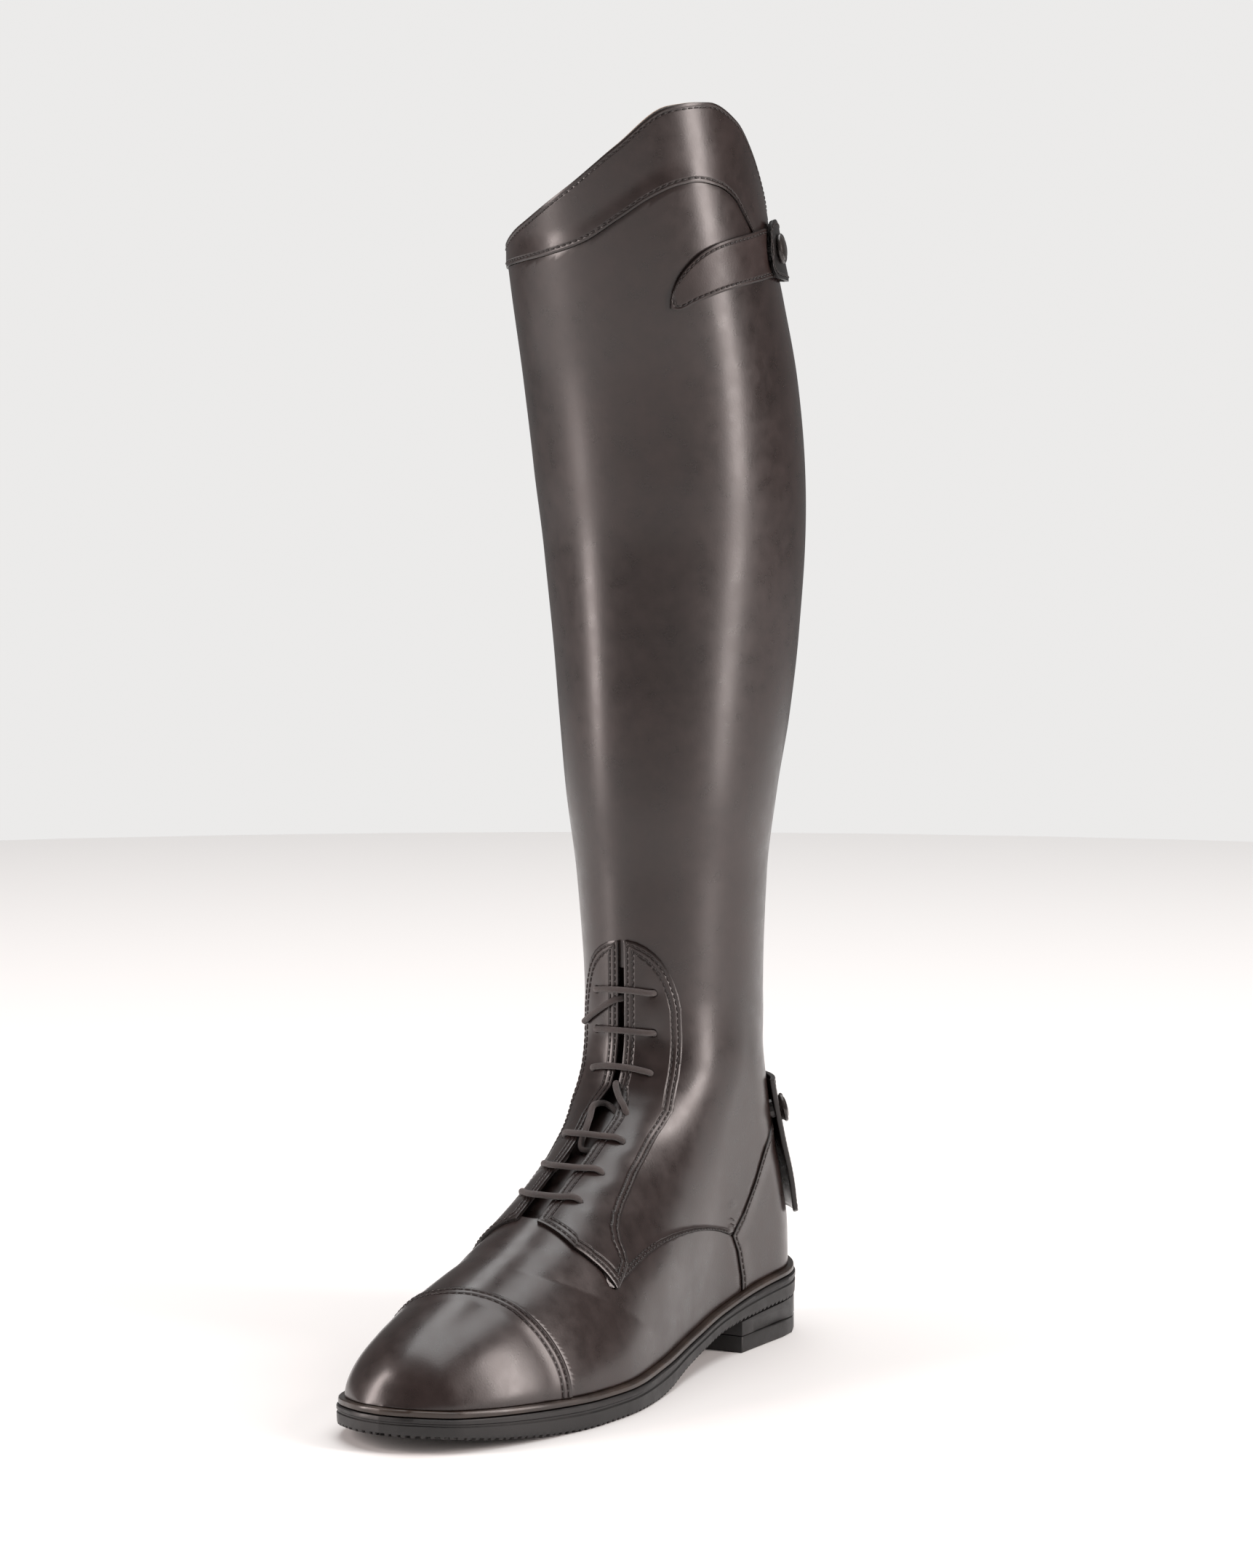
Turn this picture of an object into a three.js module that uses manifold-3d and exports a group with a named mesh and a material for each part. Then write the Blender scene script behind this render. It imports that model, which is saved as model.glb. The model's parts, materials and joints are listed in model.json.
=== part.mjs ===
// Tall laced riding boot with a rear zip, left foot, standing on the floor.
// Units are millimetres. +Z is up, the toe points toward -Y and the outer side of the leg is +X.
// Depths are measured from the outer face of the leather: negative is toward the leg.
import * as THREE from 'three';
import { mergeVertices } from 'three/addons/utils/BufferGeometryUtils.js';
import Module from 'manifold-3d';

const wasm = await Module();
wasm.setup();

// ---------------------------------------------------------------- driving dimensions
const GAP = 0.3;
const LEATHER = 1.8;
const LINING = 1.2;
const STIFFENER = 1.2;
const OVERLAY = 1.4;
const COLUMNS = 24;
const SHAFT_ROWS = 7;
const ANKLE_HEIGHT = 150;

// The back of the calf follows this arc in side view, and the zip slider runs along it
const CALF_ARC = { y: -224, z: 328, radius: 282.5 };
const calfBack = (height) => CALF_ARC.y + Math.sqrt(CALF_ARC.radius ** 2 - (height - CALF_ARC.z) ** 2);
const LEAN = 0.019;

// Leg: [height, back y, front y, half width]
const LEG = [
  [100, 41, -53, 33.5],
  [150, 37, -52.5, 34.5],
  [200, 38, -54, 37.5],
  [235, calfBack(235), -57, 42],
  [265, calfBack(265), -58.5, 45.5],
  [300, calfBack(300), -59.5, 49],
  [335, calfBack(335), -61, 52.5],
  [370, calfBack(370), -65, 55],
  [405, calfBack(405), -70.5, 55.7],
  [438, calfBack(438), -78.5, 55],
  [460, 28, -84, 54],
  [520, 12, -98, 52],
];

// Top line: [angle from the shin, height]; positive angles are on the outer side
const TOP_LINE = [
  [-180, 468], [-150, 467], [-120, 464], [-95, 461], [-62, 460], [-30, 468], [0, 482], [25, 498],
  [52, 514], [72, 516], [90, 509], [103, 496], [113, 484], [124, 475], [140, 470], [160, 468],
  [180, 468],
];

// Seam under the top panel: [angle from the shin, height]
const TOP_SEAM = [
  [-180, 449], [-100, 449], [-45, 452], [-21, 454.5], [-7, 457], [6, 461], [21, 470], [33, 478],
  [44, 483], [53, 484.5], [63, 483], [72, 479], [83, 468], [98, 454], [180, 449],
];

// Side view of ankle and foot, back/bottom end of each row and its front/top end
const ROW_BACK = [
  [37, 150], [37, 132], [38.5, 115], [43, 98], [49.5, 82], [56, 64], [60.5, 47], [61, 30.5],
  [49, 29.5], [30, 28.5], [5, 26.5], [-25, 22], [-60, 17], [-95, 14], [-128, 13], [-158, 13.5],
  [-183, 14.5], [-203, 15.5], [-217, 16.5], [-226, 17.5],
];
const ROW_FRONT = [
  [-52.5, 150], [-52.5, 138], [-54, 127.5], [-58, 118.5], [-64.5, 111], [-73, 104], [-83, 98], [-94, 92],
  [-107, 86], [-119, 80], [-131, 74], [-143, 68.5], [-155, 63.5], [-167, 59], [-179, 54.5],
  [-191, 49.5], [-203, 43.5], [-214, 36], [-222, 27], [-226, 17.5],
];

// Foot plan: [y, outer half width, inner half width, centre x] at the sole
const PLAN = [
  [-226, 0, 0, -9], [-225, 8, 8, -9], [-222, 15.5, 15, -9], [-212, 26.5, 26, -9], [-193, 35, 34, -7],
  [-173, 40.5, 38.5, -5], [-148, 43.5, 41.5, -2], [-123, 43, 40, 0], [-90, 38.5, 33, 0],
  [-50, 32, 27, 0], [-20, 29.5, 27, 0], [10, 30, 29, 0], [35, 30.5, 29.5, 0], [80, 30.5, 29.5, 0],
];

// ---------------------------------------------------------------- small maths helpers
const clamp = (value, low, high) => Math.min(high, Math.max(low, value));
const mix = (a, b, t) => a + (b - a) * t;
const smooth = (t) => {
  const u = clamp(t, 0, 1);
  return u * u * (3 - 2 * u);
};
const radians = (degrees) => (degrees * Math.PI) / 180;

// Smooth curve through [x, y] points that never overshoots between them
function curve(points) {
  const count = points.length;
  const slopes = [];
  const tangents = [];
  for (let i = 0; i < count - 1; i += 1) {
    slopes.push((points[i + 1][1] - points[i][1]) / (points[i + 1][0] - points[i][0]));
  }
  for (let i = 0; i < count; i += 1) {
    const before = slopes[Math.max(0, i - 1)];
    const after = slopes[Math.min(count - 2, i)];
    const turning = before * after <= 0;
    tangents.push(turning ? 0 : (2 * before * after) / (before + after));
  }
  return (x) => {
    let i = 0;
    while (i < count - 2 && x > points[i + 1][0]) i += 1;
    const span = points[i + 1][0] - points[i][0];
    const t = clamp((x - points[i][0]) / span, 0, 1);
    const h00 = 2 * t ** 3 - 3 * t ** 2 + 1;
    const h10 = t ** 3 - 2 * t ** 2 + t;
    const h01 = 3 * t ** 2 - 2 * t ** 3;
    const h11 = t ** 3 - t ** 2;
    const start = h00 * points[i][1] + h10 * span * tangents[i];
    return start + h01 * points[i + 1][1] + h11 * span * tangents[i + 1];
  };
}

const column = (table, index) => curve(table.map((row) => [row[0], row[index]]));
const legBack = column(LEG, 1);
const legFront = column(LEG, 2);
const legHalf = column(LEG, 3);
const legLean = (height) => -LEAN * Math.max(0, height - ANKLE_HEIGHT);
const topLine = column(TOP_LINE, 1);
const topSeam = column(TOP_SEAM, 1);
const planOuter = column(PLAN, 1);
const planInner = column(PLAN, 2);
const planCentre = column(PLAN, 3);
const rowCurve = (rows, index) => curve(rows.map((row, i) => [i, row[index]]));
const rowBackY = rowCurve(ROW_BACK, 0);
const rowBackZ = rowCurve(ROW_BACK, 1);
const rowFrontY = rowCurve(ROW_FRONT, 0);
const rowFrontZ = rowCurve(ROW_FRONT, 1);
const heelBack = curve(ROW_BACK.slice(0, 8).map((row) => [row[1], row[0]]).reverse());
const feather = curve(ROW_BACK.slice(8).map((row) => [row[0], row[1]]).reverse());
const backRound = curve([[0, 44.7], [2, 40], [4, 36], [7, 31], [19, 30]]);
const frontRound = curve([[0, 44.7], [3, 42], [6, 60], [10, 95], [19, 100]]);
const LAST_ROW = ROW_BACK.length - 1;
const FOOT_ROWS = LAST_ROW;

// ---------------------------------------------------------------- outer surface of the leather
// Point on the leg at a height and an angle measured from the shin
function legPoint(angle, height) {
  const a = radians(angle);
  const back = legBack(height);
  const front = legFront(height);
  const centre = (back + front) / 2;
  const depth = (back - front) / 2;
  const x = legLean(height) + legHalf(height) * Math.sin(a);
  return new THREE.Vector3(x, centre - depth * Math.cos(a), height);
}

// Point on the ankle and foot: row 0 is the ankle ring, the last row is the toe tip
function footPoint(angle, row) {
  const fromBack = radians(180 - Math.abs(angle));
  const side = Math.sign(angle);
  const opening = smooth((row - 5) / 5);
  const along = mix((1 - Math.cos(fromBack)) / 2, Math.sin(fromBack / 2), opening);
  const y = mix(rowBackY(row), rowFrontY(row), along);
  const z = mix(rowBackZ(row), rowFrontZ(row), along);
  const chord = Math.hypot(rowFrontY(row) - rowBackY(row), rowFrontZ(row) - rowBackZ(row));
  const sole = side >= 0 ? planOuter(y) : planInner(y);
  const leg = mix(32.5, legHalf(ANKLE_HEIGHT), smooth((z - 60) / 90));
  const half = mix(sole, leg, smooth((z - 45) / 75));
  const fromHeel = clamp((heelBack(clamp(z, 30.5, 150)) - y) / backRound(row), 0, 1);
  const fromRidge = clamp(((1 - along) * chord) / Math.min(frontRound(row), Math.max(chord, 1)), 0, 1);
  const power = mix(2, 2.15, smooth((row - 8) / 6));
  const backShape = Math.sqrt(1 - (1 - fromHeel) ** 2);
  const topShape = (1 - (1 - fromRidge) ** power) ** (1 / power);
  return new THREE.Vector3(side * half * backShape * topShape + planCentre(y), y, z);
}

const grid = [];
for (let row = 0; row <= SHAFT_ROWS + FOOT_ROWS; row += 1) {
  const line = [];
  for (let i = 0; i <= COLUMNS; i += 1) {
    const angle = mix(-180, 180, i / COLUMNS);
    const onLeg = row <= SHAFT_ROWS;
    const height = mix(topLine(angle), ANKLE_HEIGHT, row / SHAFT_ROWS);
    line.push(onLeg ? legPoint(angle, height) : footPoint(angle, row - SHAFT_ROWS));
  }
  grid.push(line);
}
const ROWS = grid.length;
// Rows below this one are open at the sole, rows above are closed rings round the leg
const CLOSED_ROWS = SHAFT_ROWS + 7;

// Direction out of the leather at a grid point; it stays level along the edge of the sole
function outward(row, index) {
  if (row === ROWS - 1) return new THREE.Vector3(0, -1, 0);
  const ring = row <= CLOSED_ROWS;
  const last = COLUMNS;
  const before = ring && index === 0 ? last - 1 : Math.max(0, index - 1);
  const after = ring && index === last ? 1 : Math.min(last, index + 1);
  const above = Math.max(0, row - 1);
  const below = Math.min(ROWS - 1, row + 1);
  const across = grid[row][after].clone().sub(grid[row][before]);
  const down = grid[below][index].clone().sub(grid[above][index]);
  const normal = down.cross(across).normalize();
  if (row >= CLOSED_ROWS && (index === 0 || index === last)) normal.setZ(0).normalize();
  return normal;
}
const normals = grid.map((line, row) => line.map((_, index) => outward(row, index)));

// ---------------------------------------------------------------- solids and booleans
function toSolid(geometry) {
  const bare = geometry.index ? geometry.toNonIndexed() : geometry.clone();
  bare.deleteAttribute('normal');
  bare.deleteAttribute('uv');
  const merged = mergeVertices(bare, 1e-4);
  return new wasm.Manifold(new wasm.Mesh({
    numProp: 3,
    vertProperties: new Float32Array(merged.attributes.position.array),
    triVerts: new Uint32Array(merged.index.array),
  }));
}

function solidFromFaces(points, faces) {
  const geometry = new THREE.BufferGeometry();
  const flat = [];
  for (const face of faces) {
    const corners = face.map((index) => points[index]);
    const [a, b, c] = corners;
    if (a.distanceTo(b) < 1e-4 || b.distanceTo(c) < 1e-4 || c.distanceTo(a) < 1e-4) continue;
    for (const corner of corners) flat.push(corner.x, corner.y, corner.z);
  }
  geometry.setAttribute('position', new THREE.Float32BufferAttribute(flat, 3));
  return toSolid(geometry);
}

// Boot-shaped solid whose skin lies at a depth from the leather; an open one passes the top and sole
function bootSolid(depth, open) {
  const points = [];
  const faces = [];
  const rise = open ? 25 : 0;
  const drop = open ? 6 : 0;
  const width = COLUMNS + 3;
  const place = (row, index) => {
    const i = clamp(index - 1, 0, COLUMNS);
    const point = grid[row][i].clone().addScaledVector(normals[row][i], depth);
    if (row >= CLOSED_ROWS && (index === 0 || index === width - 1)) point.z -= drop;
    return point;
  };
  for (let row = 0; row < ROWS; row += 1) {
    for (let index = 0; index < width; index += 1) points.push(place(row, index));
  }
  const lift = points.length;
  for (let index = 0; index < width && open; index += 1) {
    points.push(points[index].clone().add(new THREE.Vector3(0, 0, rise)));
  }
  const at = (row, index) => (row < 0 ? lift : row * width) + index;
  const top = open ? -1 : 0;
  for (let row = top; row < ROWS - 1; row += 1) {
    for (let index = 0; index < width - 1; index += 1) {
      const corners = [at(row, index), at(row + 1, index), at(row + 1, index + 1), at(row, index + 1)];
      faces.push([corners[0], corners[1], corners[2]], [corners[0], corners[2], corners[3]]);
    }
    if (row < CLOSED_ROWS) continue;
    const left = [at(row, 0), at(row + 1, 0)];
    const right = [at(row, width - 1), at(row + 1, width - 1)];
    faces.push([left[0], right[0], right[1]], [left[0], right[1], left[1]]);
  }
  const centre = points.length;
  points.push(new THREE.Vector3(-6, -28, 480 + rise));
  for (let index = 0; index < width - 1; index += 1) {
    faces.push([centre, at(top, index), at(top, index + 1)]);
  }
  return solidFromFaces(points, faces);
}

const inside = {};
const outside = {};
const opened = (depth) => (inside[depth] ??= bootSolid(depth, true));
const closed = (depth) => (outside[depth] ??= bootSolid(depth, false));
const layer = (outer, inner) => closed(outer).subtract(opened(inner));

// Straight prism from a flat outline; 'x' reads [y, z], 'y' reads [x, z] and 'z' reads [x, y]
function prism(axis, outline, from, to) {
  const shape = new THREE.Shape(outline.map(([u, v]) => new THREE.Vector2(u, v)));
  const geometry = new THREE.ExtrudeGeometry(shape, { depth: to - from, bevelEnabled: false });
  geometry.translate(0, 0, axis === 'y' ? -to : from);
  if (axis === 'x') {
    geometry.applyMatrix4(new THREE.Matrix4().set(0, 0, 1, 0, 1, 0, 0, 0, 0, 1, 0, 0, 0, 0, 0, 1));
  }
  if (axis === 'y') {
    geometry.applyMatrix4(new THREE.Matrix4().set(1, 0, 0, 0, 0, 0, -1, 0, 0, 1, 0, 0, 0, 0, 0, 1));
  }
  return toSolid(geometry);
}
const block = (x0, x1, y0, y1, z0, z1) => prism('z', [[x0, y0], [x1, y0], [x1, y1], [x0, y1]], z0, z1);

// Band round an upright axis: heights low(angle) to high(angle) between two radii
function radialBand(centre, angles, low, high, inner, outer) {
  const points = [];
  const faces = [];
  const full = angles[angles.length - 1] - angles[0] >= 359.9;
  for (const angle of angles) {
    const direction = new THREE.Vector3(Math.sin(radians(angle)), -Math.cos(radians(angle)), 0);
    for (const [radius, height] of [[inner, low], [inner, high], [outer, high], [outer, low]]) {
      const point = direction.clone().multiplyScalar(radius);
      points.push(point.add(new THREE.Vector3(centre[0], centre[1], height(angle))));
    }
  }
  const steps = angles.length - 1;
  for (let i = 0; i < steps; i += 1) {
    for (let k = 0; k < 4; k += 1) {
      const a = i * 4 + k;
      const b = i * 4 + ((k + 1) % 4);
      if (k < 3) faces.push([a, b, b + 4], [a, b + 4, a + 4]);
      else faces.push([a, b, a + 4], [b, b + 4, a + 4]);
    }
  }
  if (!full) {
    const end = steps * 4;
    faces.push([0, 2, 1], [0, 3, 2], [end, end + 1, end + 2], [end, end + 2, end + 3]);
  }
  return solidFromFaces(points, faces);
}

function range(from, to, step) {
  const count = Math.max(1, Math.round(Math.abs(to - from) / step));
  return Array.from({ length: count + 1 }, (_, i) => mix(from, to, i / count));
}

// Cylinder or cone between two points
function rod(from, to, radiusFrom, radiusTo, sides) {
  const axis = to.clone().sub(from);
  const geometry = new THREE.CylinderGeometry(radiusTo, radiusFrom, axis.length(), sides);
  const turn = new THREE.Quaternion().setFromUnitVectors(new THREE.Vector3(0, 1, 0), axis.clone().normalize());
  geometry.applyQuaternion(turn);
  const middle = from.clone().lerp(to, 0.5);
  geometry.translate(middle.x, middle.y, middle.z);
  return toSolid(geometry);
}

// Snap cap: a low dome turned round its axis, standing on a point
function dome(base, normal, radius, height, sides) {
  const profile = [[0, 0], [radius, 0], [radius, height * 0.45], [radius * 0.8, height * 0.85], [0, height]];
  const points = profile.map(([r, h]) => new THREE.Vector2(r, h));
  const geometry = new THREE.LatheGeometry(points, sides);
  const turn = new THREE.Quaternion().setFromUnitVectors(new THREE.Vector3(0, 1, 0), normal.clone().normalize());
  geometry.applyQuaternion(turn);
  geometry.translate(base.x, base.y, base.z);
  return toSolid(geometry);
}

const union = (solids) => solids.reduce((sum, solid) => sum.add(solid));

// ---------------------------------------------------------------- the named pieces
const group = new THREE.Group();
const FINISH = {
  leather: { color: 0x3a2e2c, roughness: 0.42, metalness: 0 },
  lining: { color: 0x6b5a4c, roughness: 0.8, metalness: 0 },
  rubber: { color: 0x1c1b1b, roughness: 0.7, metalness: 0 },
  elastic: { color: 0x241d1c, roughness: 0.9, metalness: 0 },
  metal: { color: 0x4a4540, roughness: 0.35, metalness: 1 },
  steel: { color: 0x9a9a98, roughness: 0.4, metalness: 1 },
  board: { color: 0x8a6f52, roughness: 0.9, metalness: 0 },
};

function add(name, solid, finish) {
  const mesh = solid.getMesh();
  const positions = new Float32Array(mesh.triVerts.length * 3);
  mesh.triVerts.forEach((vertex, i) => {
    for (let k = 0; k < 3; k += 1) positions[i * 3 + k] = mesh.vertProperties[vertex * mesh.numProp + k];
  });
  const geometry = new THREE.BufferGeometry();
  geometry.setAttribute('position', new THREE.BufferAttribute(positions, 3));
  geometry.computeVertexNormals();
  const piece = new THREE.Mesh(geometry, new THREE.MeshStandardMaterial(FINISH[finish]));
  piece.name = name;
  group.add(piece);
}

// ---- cutting shapes, in side view [y, z] unless the name says otherwise
const OUTER = [0, 120];
const INNER = [-120, 0];
const FAR = 300;

// Lower edge of the leg leather, from the back of the heel round to the lace panel
const QUARTER_EDGE = [
  [90, 103], [44, 101], [30, 96.5], [20, 90.5], [13.6, 84], [6, 70], [-3, 58.5], [-12, 50.5],
];
const VAMP_EDGE = [
  [-12, 50.5], [-28, 55.5], [-46, 58.5], [-67, 59.5], [-86, 58], [-102, 54.5], [-121.5, 48.5],
];
const COUNTER_EDGE = [[-12, 50.5], [-7.5, 43], [-4, 31], [-2, 0]];
const LACE_FRONT = -131;

const shift = (outline, dy, dz) => outline.map(([y, z]) => [y + dy, z + dz]);
const sideCut = (outline) => prism('x', outline, -120, 120);

// Everything above the vamp and the heel quarter
const legRegion = sideCut([
  ...QUARTER_EDGE, ...VAMP_EDGE.slice(1), [-124, 49.5], [-124, 120], [-FAR, 120], [-FAR, 600], [FAR, 600],
  [FAR, 103],
]);
const quarterRegion = sideCut([
  ...shift(QUARTER_EDGE, 0.35, -0.35), ...shift(COUNTER_EDGE.slice(1), 0.35, 0), [-2, -20], [FAR, -20],
  [FAR, 102.65],
]);
const vampRegion = sideCut([
  ...shift(VAMP_EDGE, 0, -0.35), [-124.35, 49.5], [-124.35, 120], [-FAR, 120], [-FAR, -20], [-2.3, -20],
  ...shift(COUNTER_EDGE, -0.35, 0).reverse().slice(0, 3),
]);
// Toe cap seam from above [x, y]
const TOE_SEAM = [
  [-120, -171], [-38, -172], [-26, -176.5], [-11, -179], [6, -174.5], [18, -169.8], [31, -165.5],
  [38, -163.5], [120, -162],
];
const toeRegion = prism('z', [...TOE_SEAM, [120, -FAR], [-120, -FAR]], -20, 120);
const behindToe = prism('z', [...shift(TOE_SEAM, 0, 0.35), [120, FAR], [-120, FAR]], -20, 600);

// Lace opening cut through leather and lining, from the front [x, z]
const laceOpening = prism('y', [
  [-16, 75], [16, 75], [16, 160], [12, 166], [-12, 166], [-16, 160],
], -FAR, -25);
const centreX = (height) => -LEAN * Math.max(0, height - ANKLE_HEIGHT);
// Upright strip at the back of the leg between two distances from the zip line
const strip = (from, to, low, high) => prism('y', [
  [from, low], [to, low], [to, ANKLE_HEIGHT], [centreX(high) + to, high], [centreX(high) + from, high],
  [from, ANKLE_HEIGHT],
], 8, FAR);
const zipOpening = strip(-7.5, 7.5, 93, 520);
const ALL_ROUND = range(-180, 180, 10);
const LEG_AXIS = [-6, -28];
const aboveTopSeam = radialBand(LEG_AXIS, ALL_ROUND, (a) => topSeam(a) + GAP / 2, () => 600, 0.001, 250);
const belowTopSeam = radialBand(LEG_AXIS, ALL_ROUND, () => -20, (a) => topSeam(a) - GAP / 2, 0.001, 250);
// Elastic panels beside the zip: a long V at the back [x, z]
const REAR_PANEL = [[-56, 470], [-50, 440], [-44, 377], [-29, 300], [-17, 235], [-9.5, 195]];
const rearOutline = (grow) => [
  ...REAR_PANEL.map(([x, z]) => [x - grow, z]),
  ...REAR_PANEL.map(([x, z]) => [-x - 2 * LEAN * (z - ANKLE_HEIGHT) + grow, z]).reverse(),
];
const rearPanels = prism('y', rearOutline(0), -20, FAR);
const rearPanelsWide = prism('y', rearOutline(0.3), -20, FAR);
const outerSide = prism('z', [[0, -FAR], [200, -FAR], [200, FAR], [0, FAR]], -20, 600);
const innerSide = prism('z', [[-200, -FAR], [-0, -FAR], [0, FAR], [-200, FAR]], -20, 600);

// ---- leather panels
const leatherSkin = layer(0, -LEATHER);
const legLeather = leatherSkin.intersect(legRegion).subtract(laceOpening).subtract(zipOpening);
add('top_panel', legLeather.intersect(aboveTopSeam).subtract(rearPanelsWide), 'leather');
const rear = legLeather.intersect(rearPanels);
const shaft = legLeather.intersect(belowTopSeam).subtract(rearPanelsWide);
add('shaft_leather', shaft, 'leather');
add('elastic_panel_outer', rear.intersect(outerSide), 'elastic');
add('elastic_panel_inner', rear.intersect(innerSide), 'elastic');
add('heel_quarter', leatherSkin.intersect(quarterRegion).subtract(zipOpening), 'leather');
add('vamp', leatherSkin.intersect(vampRegion).intersect(behindToe).subtract(laceOpening), 'leather');
add('toe_cap', leatherSkin.intersect(vampRegion).intersect(toeRegion), 'leather');

// ---- stiffeners and lining
const STIFF_TOP = -LEATHER - GAP;
const DEEP = STIFF_TOP - STIFFENER - GAP;
const counterArea = sideCut([[FAR, 84], [48, 84], [22, 74], [4, 50], [-6, 40], [-8, -20], [FAR, -20]]);
const puffArea = sideCut([[-FAR, 100], [-152, 100], [-148, 60], [-142, -20], [-FAR, -20]]);
const stiffSkin = layer(STIFF_TOP, STIFF_TOP - STIFFENER);
add('heel_counter', stiffSkin.intersect(counterArea), 'board');
add('toe_puff', stiffSkin.intersect(puffArea), 'board');
const liningLine = [[FAR, 89], [46, 89], [20, 79], [-4, 60], [-60, 63], [-106, 61], [-126, 66]];
const liningTop = sideCut([...liningLine, [-128, 78], [-FAR, 78], [-FAR, 700], [FAR, 700]]);
const liningFoot = sideCut([...shift(liningLine, 0, -0.5), [-128.5, 77.5], [-FAR, 77.5], [-FAR, -20], [FAR, -20]]);
const tongueArea = prism('y', [
  [-25, 72], [25, 72], [25, 170], [20, 180], [-20, 180], [-25, 170],
], -FAR, -25).intersect(sideCut([...shift(liningLine, 0, 0.5), [-127.5, 79], [-FAR, 79], [-FAR, 300], [FAR, 300]]));
add('shaft_lining', layer(STIFF_TOP, STIFF_TOP - LINING)
  .intersect(liningTop).subtract(laceOpening).subtract(zipOpening), 'lining');
add('foot_lining', layer(DEEP, DEEP - LINING).intersect(liningFoot), 'lining');
add('tongue', layer(DEEP, DEEP - OVERLAY).intersect(tongueArea), 'leather');

// ---- lace panel: two facings with a slit between them, from the front [x, z]
const facingOutline = (side) => [
  [2.5, 177.5], [10, 175], [15.6, 169], [19, 160.7], [21.3, 149], [21.8, 124], [23, 108], [40, 100],
  [40, 44], [5, 44], [5, 102], [2.5, 112],
].map(([x, z]) => [side * x, z]);
const facingFront = prism('z', [
  [-120, -118], [-34, -121.5], [-21, -130.7], [21, -130.7], [34, -121.5], [120, -118], [120, FAR], [-120, FAR],
], -20, 600);
// Rear edge of the lace panel where it sweeps down onto the vamp [y, z]
const facingSide = sideCut([
  [-FAR, 200], [0, 200], [0, 113], [-46, 113], [-58.5, 102.5], [-75, 90], [-94.6, 76.5], [-103.5, 69.5],
  [-107.3, 64], [-107.3, 59], [-113, 53.5], [-122, 47], [-FAR, 47],
]);
const overlay = layer(GAP + OVERLAY, GAP);
const EYELETS = [156, 139.5, 123, 98, 88, 79.5].map((height) => ({ height, x: 12.5 }));
const EYELET_RADIUS = 2.1;
const LACE_RADIUS = 1.3;

// Point on the front of the leather at x and height, raised along the surface normal
function frontPoint(x, height, raise) {
  const ray = new THREE.Raycaster(new THREE.Vector3(x, -400, height), new THREE.Vector3(0, 1, 0));
  const hit = ray.intersectObject(skinMesh)[0];
  return { point: hit.point.clone().addScaledVector(hit.face.normal, raise), normal: hit.face.normal.clone() };
}
function meshOf(solid) {
  const mesh = solid.getMesh();
  const geometry = new THREE.BufferGeometry();
  geometry.setAttribute('position', new THREE.BufferAttribute(Float32Array.from(mesh.vertProperties), 3));
  geometry.setIndex([...mesh.triVerts]);
  return new THREE.Mesh(geometry, new THREE.MeshBasicMaterial({ side: THREE.DoubleSide }));
}
const skinMesh = meshOf(closed(0));
const holes = [];
for (const { height, x } of EYELETS) {
  for (const side of [-1, 1]) {
    const seat = frontPoint(side * x, height, 0);
    const far = seat.point.clone().addScaledVector(seat.normal, 4);
    const near = seat.point.clone().addScaledVector(seat.normal, -1);
    holes.push(rod(near, far, EYELET_RADIUS, EYELET_RADIUS, 8));
  }
}
for (const [name, side] of [['facing_outer', 1], ['facing_inner', -1]]) {
  const area = prism('y', side > 0 ? facingOutline(1) : facingOutline(-1).reverse(), -FAR, -20);
  add(name, overlay.intersect(area).intersect(facingFront).intersect(facingSide).subtract(union(holes)), 'leather');
}

// Lace: over each pair of eyelets, down through the holes and diagonally on under the facings
const OVER = GAP + OVERLAY + 0.5 + LACE_RADIUS;
const UNDER = -LACE_RADIUS - GAP;
const stops = [];
const under = (x, height) => stops.push(frontPoint(x, height, UNDER).point);
EYELETS.forEach(({ height, x }, row) => {
  const side = row % 2 === 0 ? 1 : -1;
  stops.push(frontPoint(side * x, height, UNDER + 0.2).point);
  stops.push(frontPoint(side * x, height, OVER - 1).point);
  stops.push(frontPoint(side * (x - 2.2), height, OVER).point);
  stops.push(frontPoint(0, height, OVER + 0.4).point);
  stops.push(frontPoint(-side * (x - 2.2), height, OVER).point);
  stops.push(frontPoint(-side * x, height, OVER - 1).point);
  stops.push(frontPoint(-side * x, height, UNDER + 0.2).point);
  const next = EYELETS[row + 1];
  if (next) under(-side * (x - 1.5), mix(height, next.height, 0.5));
});
const lacePath = new THREE.CatmullRomCurve3(stops, false, 'centripetal');
const laceRound = new THREE.Shape(range(0, 288, 72).map((turn) => new THREE.Vector2(
  LACE_RADIUS * Math.cos(radians(turn)), LACE_RADIUS * Math.sin(radians(turn)),
)));
const lace = toSolid(new THREE.ExtrudeGeometry(laceRound, { steps: 96, extrudePath: lacePath }));
add('lace', lace, 'elastic');

// ---- rear zip: two tapes, two rows of teeth, stops, slider and puller
const ZIP_TOP = 436;
const ZIP_BOTTOM = 100;
const tapeSkin = layer(-0.4, -1.4);
const teethSkin = layer(1.1, -0.1);
const zipSides = [['outer', 0.2, 7.1, 2.1], ['inner', -7.1, -0.2, -2.1]];
for (const [side, from, to, edge] of zipSides) {
  const teethFrom = side === 'outer' ? from : edge;
  const teethTo = side === 'outer' ? edge : to;
  add(`zip_tape_${side}`, tapeSkin.intersect(strip(from, to, ZIP_BOTTOM - 6, 462)), 'elastic');
  add(`zip_teeth_${side}`, teethSkin.intersect(strip(teethFrom, teethTo, ZIP_BOTTOM, ZIP_TOP)), 'metal');
}
const backLine = (height) => (height >= ANKLE_HEIGHT ? legBack(height) : heelBack(height));
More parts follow.
